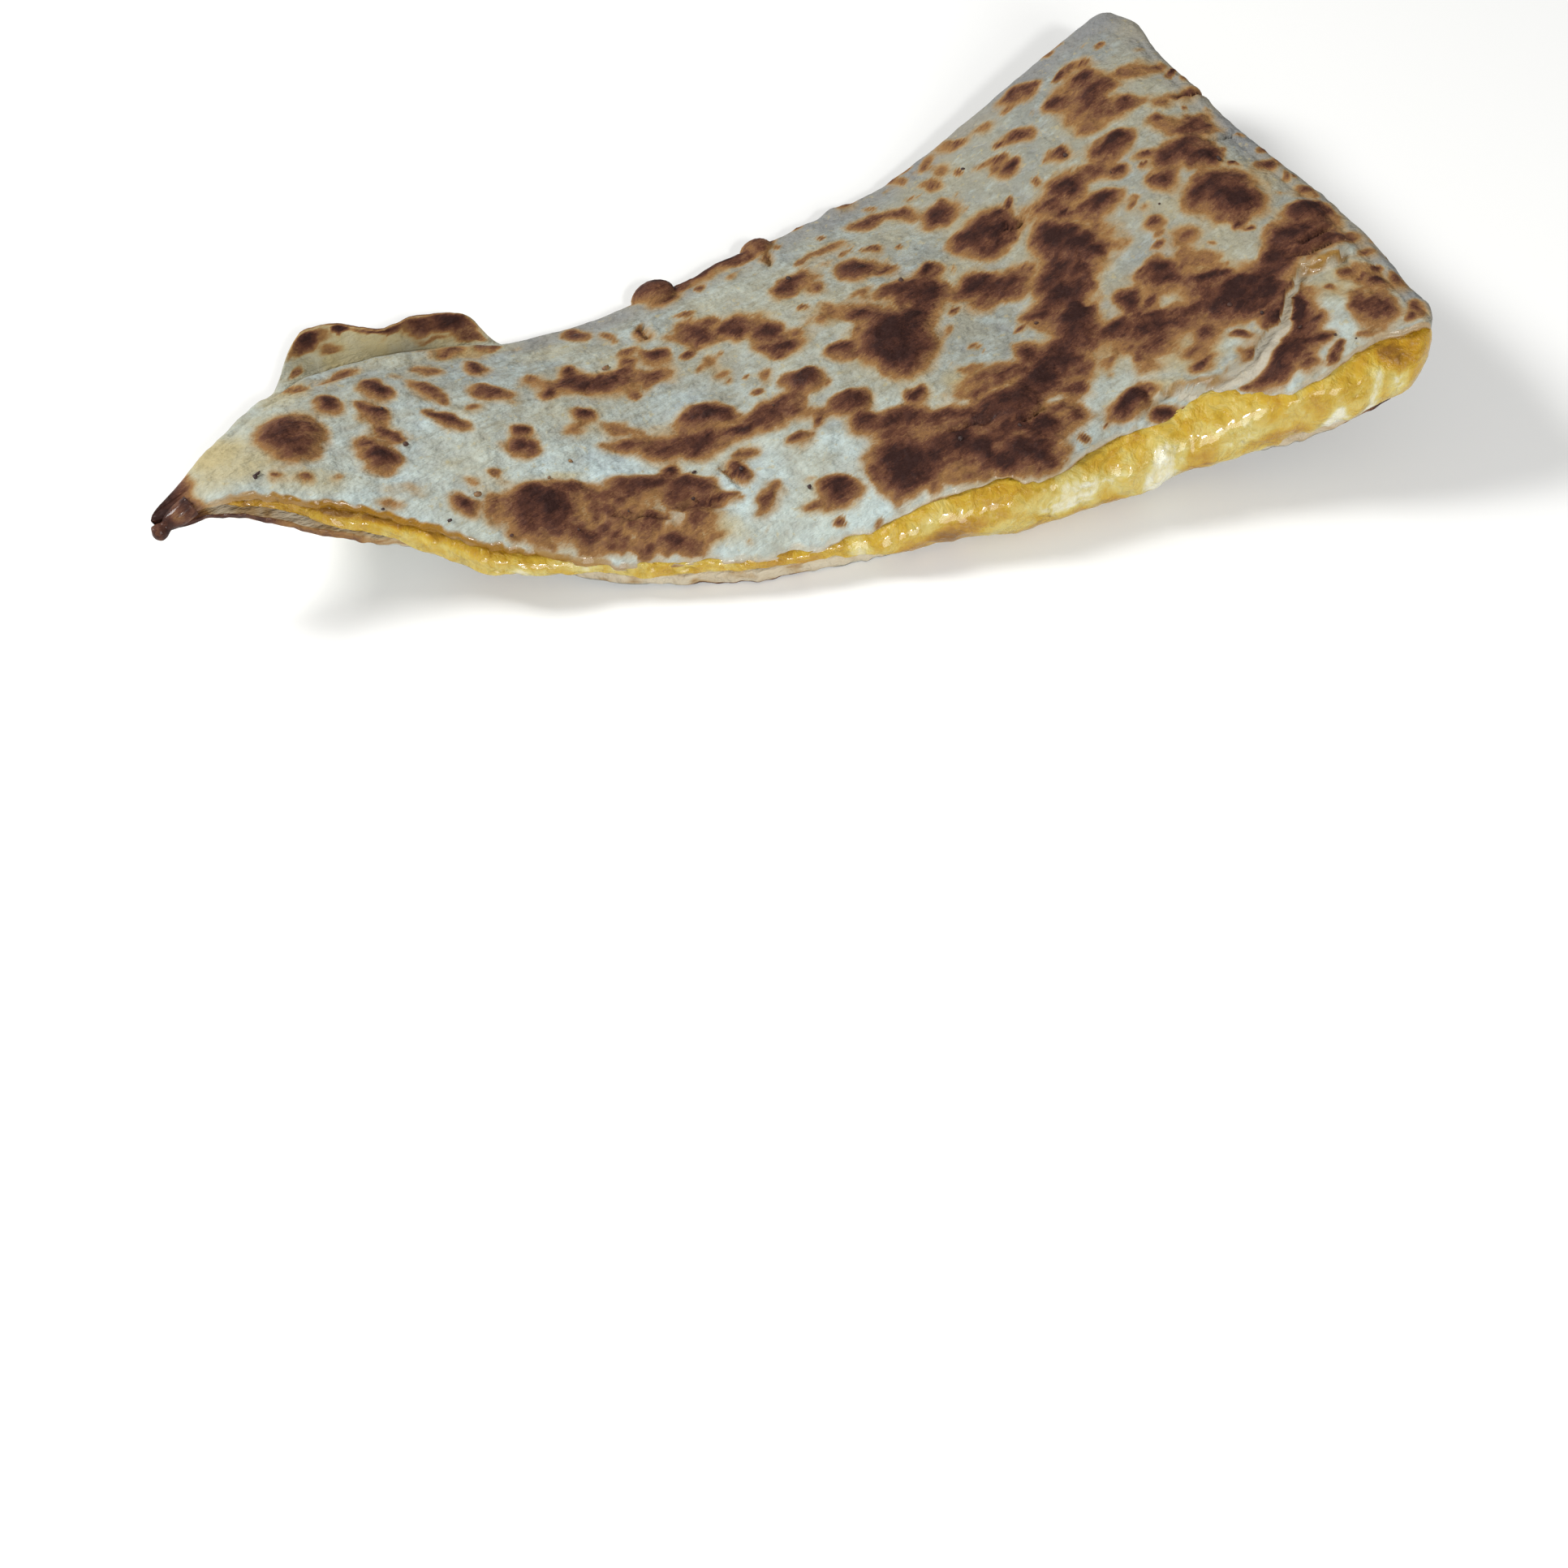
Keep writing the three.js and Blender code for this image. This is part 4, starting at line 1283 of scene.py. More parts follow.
@dataclass(frozen=True)
class CrumbFinish:
    """Loose burnt flour and crumbs."""

    effects: Effects
    burn: tuple[tuple[float, Tint], ...] = (
        (0.0, Tint.CREAM), (0.3, Tint.HALO), (0.6, Tint.TOAST), (1.0, Tint.CHAR),
    )

    def material(self) -> bpy.types.Material:
        """Make the material.

        Returns:
            The material.
        """
        made, sheet, shader = start_material("burnt_crumbs")
        place = sheet.position()
        toast = sheet.place(
            self.effects.scorch,
            {"Vector": place, "Scorch": sheet.painted("scorch"), "Break": 0.5, "Fleck": 0.5},
        )
        grain = sheet.place(self.effects.grain, {"Vector": place, "Size": 0.4, "Pores": 0.2})
        film = sheet.place(self.effects.grease, {"Vector": place, "Size": 0.6, "Dull": 0.8, "Shiny": 0.4})
        sheet.feed(shader, {
            "Base Color": sheet.ramp(toast.outputs["Toast"], self.burn),
            "Roughness": film.outputs["Roughness"],
            "Normal": sheet.bump(grain.outputs["Height"], 1.0, 0.0001),
        })
        return made


@dataclass(frozen=True)
class BoardFinish:
    """Plain pale floor."""

    roughness: float = 0.7

    def material(self) -> bpy.types.Material:
        """Make the material.

        Returns:
            The material.
        """
        made, sheet, shader = start_material("pale_floor")
        sheet.feed(shader, {"Base Color": Tint.BOARD.rgba, "Roughness": self.roughness})
        return made


# ---- Pieces ----


@dataclass(frozen=True)
class SkinPath:
    """The outer skin in every section: its path, the angle of the fold's rows and both layers' cut edges."""

    distance: Array
    height: Array
    angle: Array
    top_lip: Array
    bottom_lip: Array


@dataclass
class TortillaSheet:
    """The folded tortilla: upper layer, fold, lower layer, and the rim that stands out behind the fold."""

    form: WedgeForm
    marks: GriddleMarks
    stations: int = 440
    top_rows: int = 112
    fold_rows: int = 40
    bottom_rows: int = 18
    cut_rows: int = 5
    inner_rows: int = 8
    top_crowding: float = 1.12
    inner_crowding: float = 2.2
    rim_from: float = 0.116
    rim_to: float = 0.235
    rim_ramp: float = 0.02
    rim_reach: tuple[float, float] = (8.2, 5.4)
    rim_curl: float = 3.3
    lip_round: float = 0.55
    end_round: float = 0.01
    tip_pinch: float = 0.86
    tip_droop: float = 1.3
    tip_reach: float = 1.5
    lip_seeds: tuple[int, int] = (21, 22)
    cut_seeds: tuple[int, int] = (22, 23)
    lump_seed: int = 43
    lip_soak: Numbers = (0.3, 1.0, 1.0, 0.9, 0.3, 0.1, 0.1, 0.2, 0.1, 0.2, 0.6)
    low_burn: Numbers = (1.0, 0.4, 0.1, 0.0, 0.0, 0.0, 0.05, 0.1, 0.1, 0.0, 0.3)
    low_soak: Numbers = (0.5, 0.4, 0.3, 0.2, 0.1, 0.1, 0.1, 0.2, 0.2, 0.2, 0.3)
    high_soak: Numbers = (0.6, 1.0, 1.0, 1.0, 0.5, 0.3, 0.3, 0.4, 0.3, 0.4, 0.9)
    rim_marks: tuple[Blot, ...] = blots((
        (0.14, 0.62, 0.22, 0.2, 0.95), (0.06, 0.4, 0.1, 0.1, 0.7), (0.3, 0.66, 0.07, 0.14, 1.0),
        (0.24, 0.5, 0.14, 0.08, 0.4), (0.5, 0.66, 0.34, 0.1, 0.85), (0.66, 0.6, 0.2, 0.2, 0.8),
        (0.8, 0.62, 0.3, 0.24, 0.98), (0.9, 0.5, 0.2, 0.2, 0.6), (0.72, 0.46, 0.2, 0.07, 0.4),
        (0.5, 0.84, 1.1, 0.26, 0.8), (1.0, 0.66, 0.12, 0.16, 0.4),
    ))
    blisters: tuple[Numbers, ...] = (
        (-16.4, 5.9, 3.8, 3.7, 2.9), (-12.6, 7.6, 3.7, 1.9, 1.0), (-0.2, 12.7, 4.4, 2.9, 2.0),
        (-6.5, 9.6, 3.2, 4.4, 0.7),
    )
    outer: Array = field(init=False)

    @property
    def bands(self) -> tuple[Any, Any, Any]:
        """The outer skin's rows on the upper layer, on the fold and on the lower layer."""
        lower_from = self.top_rows + self.fold_rows
        return np.s_[:, : self.top_rows], np.s_[:, self.top_rows : lower_from], np.s_[:, lower_from:]

    def lip(self, sec: Sections, setback: Array, seed: int) -> Array:
        """Ragged distance of a layer's cut edge from the cut line.

        Args:
            sec: The sections.
            setback: The layer's setback in each section.
            seed: Seed of its raggedness.

        Returns:
            One distance for each section.
        """
        jag = Grain(seed)
        along = sec.share * CUT_LENGTH
        ragged = 0.34 * jag.at(along / 3.7, along * 0) + 0.2 * jag.at(along / 1.1, along * 0 + 5)
        ends = ease(0.0, 0.03, sec.share) * (1.0 - ease(0.97, 1.0, sec.share))
        return np.minimum(setback + ragged * ends, sec.run_end * 0.6)

    def rim_weight(self, share: Array) -> Array:
        """How far the lower layer's rim stands out.

        Args:
            share: Shares of the way along the cut.

        Returns:
            1 where the rim stands out, 0 elsewhere; one row for each share.
        """
        rise = ease(self.rim_from - self.rim_ramp, self.rim_from + self.rim_ramp, share)
        fall = ease(self.rim_to - self.rim_ramp, self.rim_to + self.rim_ramp, share)
        return (rise * (1.0 - fall))[:, None]

    def fold_path(self, sec: Sections, inset: Array, rows: int) -> tuple[Array, Array, Array]:
        """The bend of the fold, from the upper layer to the lower.

        Args:
            sec: The sections.
            inset: Depth under the outer skin, one for each section.
            rows: Number of points.

        Returns:
            Distances, heights, and the angle round the bend.
        """
        angle = np.linspace(0.0, math.pi, rows)[None, :]
        half = (sec.fold / 2)[:, None]
        radius = np.maximum(sec.bend - inset, 0.15 * sec.bend)[:, None]
        distance = sec.run_end[:, None] + radius * np.sin(angle)
        height = half + (half - inset[:, None]) * np.cos(angle)
        return distance, height, np.broadcast_to(angle, distance.shape)

    def rim_path(self, sec: Sections, rows: int) -> tuple[Array, Array]:
        """The outer skin where the lower layer's rim stands out.

        Args:
            sec: The sections.
            rows: Number of points.

        Returns:
            Distances and heights.
        """
        along = np.clip((sec.share - self.rim_from) / (self.rim_to - self.rim_from), 0.0, 1.0)
        jag = Grain(41)
        dip = np.exp(-(((along - 0.46) / 0.13) ** 2)) * 1.7
        ragged = 0.5 * jag.at(along * 4.7, along * 0) + 0.3 * jag.at(along * 11, along * 0) - dip
        ragged = ragged + 0.12 * jag.at(along * 34, along * 0)
        reach = blend(self.rim_reach[0], self.rim_reach[1], along) + ragged
        curl = self.rim_curl * (1.0 + 0.2 * jag.at(along * 3.1, along * 0 + 3))
        lip, tip = sec.layer, sec.depth + reach
        knots = (
            (sec.run_end, sec.fold),
            (sec.run_end + 0.8 * sec.bend, sec.fold * 0.93),
            (sec.depth - 0.2, sec.fold * 0.6),
            (sec.depth + 0.5, lip * 1.15),
            (sec.depth + 0.55 * reach, lip + 0.25 * curl),
            (tip - 0.4, lip + curl * 0.9),
            (tip + 0.5, lip * 0.3 + curl),
            (sec.depth + 0.5 * reach, 0.2 * curl),
            (sec.run_end, sec.fold * 0),
        )
        base, lobe = rows // 5, 3 * rows // 5
        where = np.concatenate([
            np.linspace(0.0, 0.36, base, endpoint=False),
            np.linspace(0.36, 0.7, lobe, endpoint=False),
            np.linspace(0.7, 1.0, rows - base - lobe),
        ])
        distance, height = (
            np.stack([profile([knot[axis][n] for knot in knots], where) for n in range(len(tip))])
            for axis in (0, 1)
        )
        return distance, height

    def rim_scorch(self, share: Array) -> Array:
        """Scorch of the rim that stands out.

        Args:
            share: Share of the way along the cut of each station.

        Returns:
            One value for each point of the fold's rows.
        """
        along = ((share - self.rim_from) / (self.rim_to - self.rim_from))[:, None] * np.ones(self.fold_rows)
        across = np.arange(self.fold_rows)[None, :] / self.fold_rows * np.ones((len(share), 1))
        shaken = along + 0.035 * Grain(44).layered(along * 60, across * 60, 5.0, 2)
        across = across + 0.05 * Grain(45).layered(along * 60, across * 60, 4.0, 3)
        total = np.zeros_like(along)
        for mark in self.rim_marks:
            total = np.maximum(total, mark.cover(shaken, across))
        return total

    def outer_path(self, sec: Sections) -> SkinPath:
        """The outer skin, from the upper layer's cut edge round the fold to the lower layer's.

        Args:
            sec: The sections.

        Returns:
            The path.
        """
        upper_seed, lower_seed = self.lip_seeds
        top_lip = self.lip(sec, along_knots(self.form.upper_lip, sec.share), upper_seed)
        bottom_lip = self.lip(sec, along_knots(self.form.bottom_setback, sec.share), lower_seed)
        t = np.linspace(0.0, 1.0, self.top_rows, endpoint=False)[None, :] ** self.top_crowding
        top_d = blend(top_lip[:, None], sec.run_end[:, None], t)
        round_off = np.clip(1.0 - (top_d - top_lip[:, None]) / self.lip_round, 0.0, 1.0)
        rolled = self.lip_round * (1.0 - np.sqrt(1.0 - round_off**2))
        small = np.minimum(1.0, sec.layer / self.form.tortilla_thickness)[:, None]
        top_h = self.form.height(sec, top_d) - rolled * small
        fold_d, fold_h, angle = self.fold_path(sec, sec.layer * 0, self.fold_rows)
        rim_d, rim_h = self.rim_path(sec, self.fold_rows)
        weight = self.rim_weight(sec.share)
        fold_d, fold_h = blend(fold_d, rim_d, weight), blend(fold_h, rim_h, weight)
        t = np.linspace(1.0, 0.0, self.bottom_rows + 1)[None, 1:]
        bottom_d = blend(bottom_lip[:, None], sec.run_end[:, None], t)
        distance = np.hstack([top_d, fold_d, bottom_d])
        height = np.hstack([top_h, fold_h, bottom_d * 0])
        return SkinPath(distance, height, angle, top_lip, bottom_lip)

    def shaped(self, sec: Sections, path: SkinPath, relief: Array) -> Array:
        """Points of the outer skin, moved out by its relief, its lumps and its blisters.

        Args:
            sec: The sections.
            path: The outer skin's path.
            relief: Height of the skin's relief.

        Returns:
            The points.
        """
        x, y = self.form.plan(sec, path.distance)
        _, fold, lower = self.bands
        facing, rim = np.ones_like(x), np.zeros_like(x)
        facing[fold], facing[lower] = np.cos(path.angle), -1.0
        rim[fold] = self.rim_weight(sec.share)
        sideways = np.sqrt(1.0 - np.clip(facing, -1.0, 1.0) ** 2)
        lumps = Grain(self.lump_seed)
        lumps = lumps.layered(x * 0.8 + path.height, y * 0.8 - path.height, 3.0, 3)
        calm = (ease(0.0, 0.05, sec.share) * (1.0 - ease(0.985, 1.0, sec.share)))[:, None]
        lift = relief * np.clip(facing, 0.0, 1.0) * calm * (1.0 - 0.6 * rim)
        out = sideways * (relief * 0.8 + 0.2 * lumps) * calm * (1.0 - rim)
        under = np.clip(-facing, 0.0, 1.0) * (0.14 + 0.14 * lumps) * (1.0 - rim)
        points = self.form.place(sec, path.distance + out, path.height)
        points[..., 2] += lift + under + rim * 0.25 * lumps
        for bx, by, bz, radius, swell in self.blisters:
            away = points - np.array((bx, by, bz))
            reach = np.linalg.norm(away, axis=-1, keepdims=True)
            dome = np.clip(1.0 - (reach / radius) ** 2, 0.0, 1.0)
            points = points + away / np.maximum(reach, 0.5) * swell * dome * ease(0.4, 2.0, points[..., 2:3])
        points[..., 2] = np.maximum(points[..., 2], 0.0)
        return points

    def build(self) -> Surface:
        """Build the sheet.

        Returns:
            Its surface, with scorch, cream, crumb, soak, dullness and greyness painted on; dullness and
            greyness carry painted shade.
        """
        form = self.form
        sec = form.sections(np.linspace(0.0, 1.0, self.stations))
        path = self.outer_path(sec)
        x, y = form.plan(sec, path.distance)
        scorch = self.marks.scorch(x, y)
        relief = self.marks.relief(x, y, scorch)
        self.outer = self.shaped(sec, path, relief)
        inner = form.place(sec, *self.inner_path(sec, path, relief[:, 0]))
        lower_seed, upper_seed = self.cut_seeds
        low_cut = self.cut_face(self.outer[:, -1], inner[:, 0], lower_seed)
        high_cut = self.cut_face(inner[:, -1], self.outer[:, 0], upper_seed)
        rings = self.drawn_tip(sec, np.concatenate([self.outer, low_cut, inner, high_cut], axis=1))
        outer_rows = self.outer.shape[1]
        quads, caps = ring_loft(rings, strip_cap(outer_rows, rings.shape[1] - outer_rows))
        paint = self.painted_rings(sec, outer_rows, rings, self.skin_paint(sec, path, scorch))
        return Surface(rings.reshape(-1, 3), quads, caps, paint)

    def drawn_tip(self, sec: Sections, rings: Array) -> Array:
        """Rings narrowed, lowered and drawn out at the tip, and rounded off at both ends.

        Args:
            sec: The sections.
            rings: The rings' points.

        Returns:
            The moved points.
        """
        middle = rings.mean(axis=1, keepdims=True)
        pinch = blend(self.tip_pinch, 1.0, ease(0.0, 0.04, sec.share))
        rings = middle + (rings - middle) * pinch[:, None, None]
        rings[..., 2] -= self.tip_droop * (1.0 - ease(-0.01, 0.06, sec.share))[:, None]
        rings[..., 0] -= self.tip_reach * (1.0 - ease(0.0, 0.035, sec.share))[:, None]
        return rounded_ends(rings, sec.share, self.end_round)

    def inner_path(self, sec: Sections, path: SkinPath, lip_lift: Array) -> tuple[Array, Array]:
        """The skin that faces the cheese.

        Args:
            sec: The sections.
            path: The outer skin's path.
            lip_lift: Relief of the upper skin at its cut edge.

        Returns:
            Distances and heights, from the lower layer's cut edge to the upper layer's.
        """
        t = np.linspace(0.0, 1.0, self.inner_rows, endpoint=False)[None, :] ** self.inner_crowding
        low_d = blend(path.bottom_lip[:, None], sec.run_end[:, None], t)
        low_h = np.broadcast_to(sec.layer[:, None], low_d.shape)
        bend_d, bend_h, _ = self.fold_path(sec, sec.layer, 8)
        t = np.linspace(1.0, 0.0, self.inner_rows + 4)[None, 1:] ** self.inner_crowding
        high_d = blend(path.top_lip[:, None], sec.run_end[:, None], t)
        from_lip = high_d - path.top_lip[:, None]
        lip_thick = np.minimum(along_knots(self.form.lip_thickness, sec.share), sec.layer)[:, None]
        thick = blend(lip_thick, sec.layer[:, None], ease(0.0, 7.0, from_lip))
        lifted = lip_lift[:, None] * (1.0 - ease(0.0, 4.0, from_lip))
        high_h = self.form.height(sec, high_d) - thick + lifted
        return np.hstack([low_d, bend_d[:, ::-1], high_d]), np.hstack([low_h, bend_h[:, ::-1], high_h])

    def cut_face(self, start: Array, end: Array, seed: int) -> Array:
        """Crumbly rows between two edges of a cut face.

        Args:
            start: Points of the edge that the rows leave.
            end: Points of the edge that they reach.
            seed: Seed of the crumbliness.

        Returns:
            Points, with one row for each station.
        """
        t = np.linspace(0.0, 1.0, self.cut_rows + 2)[None, 1:-1, None]
        rows = blend(start[:, None, :], end[:, None, :], t)
        rows[..., 1] += 0.22 * Grain(seed).layered(rows[..., 0], rows[..., 2] * 1.6, 1.4, 2) - 0.1
        return rows

    def skin_paint(self, sec: Sections, path: SkinPath, scorch: Array) -> dict[str, Array]:
        """Painted values of the outer skin.

        Args:
            sec: The sections.
            path: The outer skin's path.
            scorch: The griddle's scorch.

        Returns:
            The painted values by name.
        """
        marks, (top, fold, lower) = self.marks, self.bands
        x, y = self.form.plan(sec, path.distance)
        cream, soak, torn = marks.cream(x, y), marks.soak(x, y), marks.torn(x, y)
        # the cut edge of the upper layer is crumbly and wet with fat
        from_lip = path.distance[top] - path.top_lip[:, None]
        edge = Grain(self.lump_seed).layered(x, y, 1.2, 2)[top]
        crumb = 0.6 * torn
        crumb[top] = np.maximum(crumb[top], 0.6 * (1.0 - ease(0.05, 0.4, from_lip + 0.35 * edge)))
        lip_soak = profile(self.lip_soak, sec.share)[:, None]
        soak[top] = np.maximum(soak[top], lip_soak * (1.0 - ease(0.1, 0.6, from_lip + 0.3 * edge)))
        scorch = scorch * (1.0 - 0.9 * torn)
        scorch[top] *= blend(0.5, 1.0, ease(0.05, 0.5, from_lip + 0.4 * edge))
        # the left tip is burnt
        tip_edge = sec.share[:, None] + 0.012 * Grain(48).layered(x, y, 4.0, 2)
        scorch = np.maximum(scorch, 0.9 * (1.0 - ease(0.012, 0.036, tip_edge)))
        # the side of the fold hardly touched the griddle
        level = self.outer[fold][..., 2]
        flecks = Grain(52).layered(x[fold] + 0.7 * y[fold], level * 1.7, 4.2, 3)
        scorch[fold] = blend(scorch[fold], 0.75 * ease(0.25, 0.75, flecks), ease(0.75, 1.5, path.angle))
        # the rim that stands out is creamy past its crease, and its edge is charred
        weight = self.rim_weight(sec.share)
        past_crease = weight * ease(4.0, 9.0, np.arange(self.fold_rows))
        rim_scorch = self.rim_scorch(sec.share) * weight
        scorch[fold] = np.maximum(scorch[fold] * (1.0 - 0.7 * past_crease), rim_scorch)
        stain = 0.76 + 0.3 * Grain(self.lump_seed).layered(x[fold], y[fold], 3.0, 2)
        cream[fold] = np.maximum(cream[fold], stain * past_crease)
        # the underside has scorches of its own
        wx, wy = marks.warped(x[lower] + 31, y[lower] - 17)
        near_edge = 1.0 - ease(1.0, 5.0, path.distance[lower] - path.bottom_lip[:, None])
        quiet = near_edge * (1.0 - ease(0.3, 0.42, sec.share))[:, None]
        scorch[lower] = ease(0.0, 0.5, Grain(47).layered(wx, wy, 7.5, 3)) * 0.9 * (1.0 - 0.8 * quiet)
        # dullness holds random duller patches and painted shade towards the back and the right; the torn
        # crumb is painted greyer
        dull_and_shade, grey_and_shade = marks.dullness_and_shade(x, y), 0.7 * torn
        return {"scorch": scorch, "cream": cream, "crumb": crumb, "soak": soak, "dull_and_shade": dull_and_shade, "grey_and_shade": grey_and_shade}

    def painted_rings(
        self, sec: Sections, outer: int, rings: Array, skin: dict[str, Array]
    ) -> dict[str, Array]:
        """Paint of every row of the rings.

        Args:
            sec: The sections.
            outer: Number of rows of outer skin.
            rings: The rings' points.
            skin: The outer skin's painted values by name.

        Returns:
            The painted values by name.
        """
        count = rings.shape[1]
        full = {key: np.zeros(rings.shape[:2]) for key in skin}
        for key, values in skin.items():
            full[key][:, :outer] = values
        # partly the skin's greyer see-through look at the fold, partly painted shade: the skin is painted
        # greyer where it turns down over the fold and under the wedge, apart from the rim that stands out
        aside = ease(self.top_rows - 12, self.top_rows + 3, np.arange(outer)[None, :])
        aside = aside * (1.0 - self.rim_weight(sec.share)) * ease(0.1, 0.3, sec.share)[:, None]
        full["grey_and_shade"][:, :outer] = np.maximum(full["grey_and_shade"][:, :outer], aside)
        full["crumb"][:, outer:] = 1.0
        full["dull_and_shade"][:, outer:] = 0.5
        lower = np.s_[:, outer : outer + self.cut_rows + 1]
        inside = np.s_[:, outer + self.cut_rows + 1 : count - self.cut_rows]
        upper = np.s_[:, count - self.cut_rows :]
        blotch = Grain(51).layered(rings[..., 0], rings[..., 2] * 2.0, 2.6, 3)
        even = np.ones_like(sec.share)
        wet_end = 1.0 - ease(0.16, 0.34, sec.share)
        burnt = profile(self.low_burn, sec.share) + 0.7 * ease(0.962, 0.975, sec.share)
        for key, part, weight, level, blotchy in (
            ("scorch", lower, even, burnt, 0.3),
            ("soak", lower, even, profile(self.low_soak, sec.share), 0.3),
            ("scorch", inside, wet_end, 0.1 * even, 0.3),
            ("soak", inside, wet_end, 0.3 * even, 0.4),
            ("scorch", upper, ease(0.25, 0.4, sec.share), 0.1 * even, 0.3),
            ("soak", upper, even, profile(self.high_soak, sec.share), 0.3),
        ):
            value = weight[:, None] * (level[:, None] + blotchy * blotch[part])
            full[key][part] = np.clip(value, 0.0, 1.0)
        tip = 0.8 * (1.0 - ease(0.01, 0.045, sec.share))[:, None]
        full["scorch"][:, outer:] = np.maximum(full["scorch"][:, outer:], tip)
        return full


@dataclass
class CheeseFilling:
    """The melted cheese, which runs through the pocket and bulges out at the cut."""

    form: WedgeForm
    share_from: float = 0.026
    share_to: float = 0.9985
    end_round: float = 0.012
    stations: int = 520
    nose_rows: int = 70
    inner_rows: int = 9
    clearance: float = 0.12
    edge_min: float = 0.9
    nose_depth: float = 2.6
    lowest: float = 0.35
    fold_seed: int = 61
    swirl_seed: int = 63
    proud: Knots = (
        (0, -0.9), (0.06, -0.3), (0.1, 0.1), (0.14, 0.7), (0.17, 1.3), (0.2, 1.8), (0.24, 2.0), (0.28, 1.8),
        (0.33, 1.0), (0.4, 0.9), (0.5, 1.1), (0.6, 3.0), (0.7, 3.9), (0.8, 3.6), (0.9, 4.1), (0.95, 4.8),
        (1, 3.8),
    )
    droop: Numbers = (0, 0.2, 1.0, 0.6, 0.0, 0.15, 0.85, 1.0, 1.0, 1.0, 1.0)
    end_swell: float = 1.2
    # tone along the cut; the deep amber at the left end is partly browned cheese, partly painted shade where
    # the cheese lies recessed between the layers
    tones: Numbers = (
        1.0, 0.98, 0.86, 0.78, 0.6, 0.46, 0.42, 0.46, 0.52, 0.5, 0.46, 0.42, 0.44, 0.54, 0.72, 0.6,
        0.5, 0.46, 0.48, 0.58, 0.58, 0.38, 0.48, 0.42, 0.36, 0.44, 0.44, 0.44, 0.46, 0.54, 0.66,
    )
    swirls: tuple[Blot, ...] = blots((
        (-66, 0.98, 40, 0.34, 0.45), (13, 0.25, 10, 0.7, 0.42), (62, 0.35, 9, 0.3, 0.3),
        (41, 0.2, 8, 0.3, 0.3), (17, 0.5, 7, 0.5, 0.3), (25, 0.35, 8, 0.6, -0.2), (34, 0.6, 9, 0.5, -0.24),
        (30, 0.2, 10, 0.3, 0.25), (47, 0.45, 4.5, 0.9, -0.4), (52, 0.5, 4, 0.6, 0.42),
        (58, 0.6, 6, 0.5, -0.15), (71, 0.4, 2.6, 0.8, -0.4), (75, 0.55, 2.2, 0.8, -0.36),
        (79, 0.6, 4, 0.7, -0.3), (78, 0.95, 8, 0.25, 0.35), (68, 0.8, 8, 0.3, 0.2),
        (-40, 0.5, 5, 0.5, -0.25), (-33, 0.55, 4, 0.5, -0.25), (-3, 0.5, 5, 0.6, 0.12),
        (5, 0.5, 5, 0.7, -0.2), (-22, 0.5, 10, 0.8, 0.1),
    ))

    def build(self) -> Surface:
        """Build the filling.

        Returns:
            Its surface, with its tone painted on.
        """
        sec = self.form.sections(np.linspace(self.share_from, self.share_to, self.stations))
        floor = self.floor(sec)
        back = np.maximum(sec.depth - sec.layer - 0.6 - 0.4 * sec.bend, 0.5 * sec.depth)[:, None]
        front, neck = self.front_and_neck(sec, back)
        top_t = np.linspace(0.0, 1.0, self.inner_rows, endpoint=False)[None, :]
        top_d = blend(np.minimum(back - 0.1, sec.run_end[:, None]), neck, top_t**0.6)
        top_h = self.ceiling(sec, top_d)
        top_h[:, :1] = np.maximum(0.72 * (top_h[:, :1] - floor) + floor, floor + self.edge_min)
        nose_d, nose_h, level = self.nose(sec, front, neck)
        under_t = np.linspace(0.0, 1.0, self.inner_rows + 1)[None, 1:]
        under_d = blend(neck, back, under_t**1.6)
        distance = np.hstack([top_d, nose_d, under_d])
        height = np.hstack([top_h, nose_h, np.broadcast_to(floor, under_d.shape)])
        rings = self.form.place(sec, distance, height)[:, ::-1]
        rings[..., 0] += self.end_swell * ease(0.955, 1.0, sec.share)[:, None]
        rings = rounded_ends(rings, sec.share, self.end_round)
        cap = np.array([(0, i, i + 1) for i in range(1, rings.shape[1] - 1)])
        quads, caps = ring_loft(rings, cap)
        return Surface(rings.reshape(-1, 3), quads, caps, {"tone": self.tone(sec, rings, level)})

    def floor(self, sec: Sections) -> Array:
        """Height at which the filling rests on the lower layer, one row for each section."""
        return (sec.layer + self.clearance)[:, None]

    def ceiling(self, sec: Sections, distance: Array) -> Array:
        """Height that the filling reaches under the upper layer.

        Args:
            sec: The sections.
            distance: Distances from the cut, one row for each section.

        Returns:
            Heights, in the shape of distance.
        """
        top_lip = along_knots(self.form.upper_lip, sec.share)[:, None]
        near_lip = 1.0 - ease(0.0, 7.0, distance - top_lip)
        lip_thick = np.minimum(along_knots(self.form.lip_thickness, sec.share) - 0.1, sec.layer)[:, None]
        room = blend(sec.layer[:, None], lip_thick, near_lip) + self.clearance * (1.0 - near_lip)
        open_height = self.form.height(sec, np.maximum(distance, top_lip)) - room
        return np.maximum(open_height, self.floor(sec) + self.edge_min)

    def front_and_neck(self, sec: Sections, back: Array) -> tuple[Array, Array]:
        """How far out the filling bulges, and where the bulge begins.

        Args:
            sec: The sections.
            back: Distance that the filling reaches into the pocket.

        Returns:
            Both distances from the cut, one row for each section.
        """
        folds, along = Grain(self.fold_seed), sec.share * CUT_LENGTH
        proud = along_knots(self.proud, sec.share)
        proud = proud + 0.5 * folds.at(along / 7.0, along * 0) + 0.25 * folds.at(along / 2.6, along * 0 + 4)
        front = -np.minimum(proud, 0.5 * sec.depth)
        neck = np.maximum(front + self.nose_depth, along_knots(self.form.upper_lip, sec.share) + 0.6)
        return front[:, None], np.minimum(neck[:, None], back - 0.2)

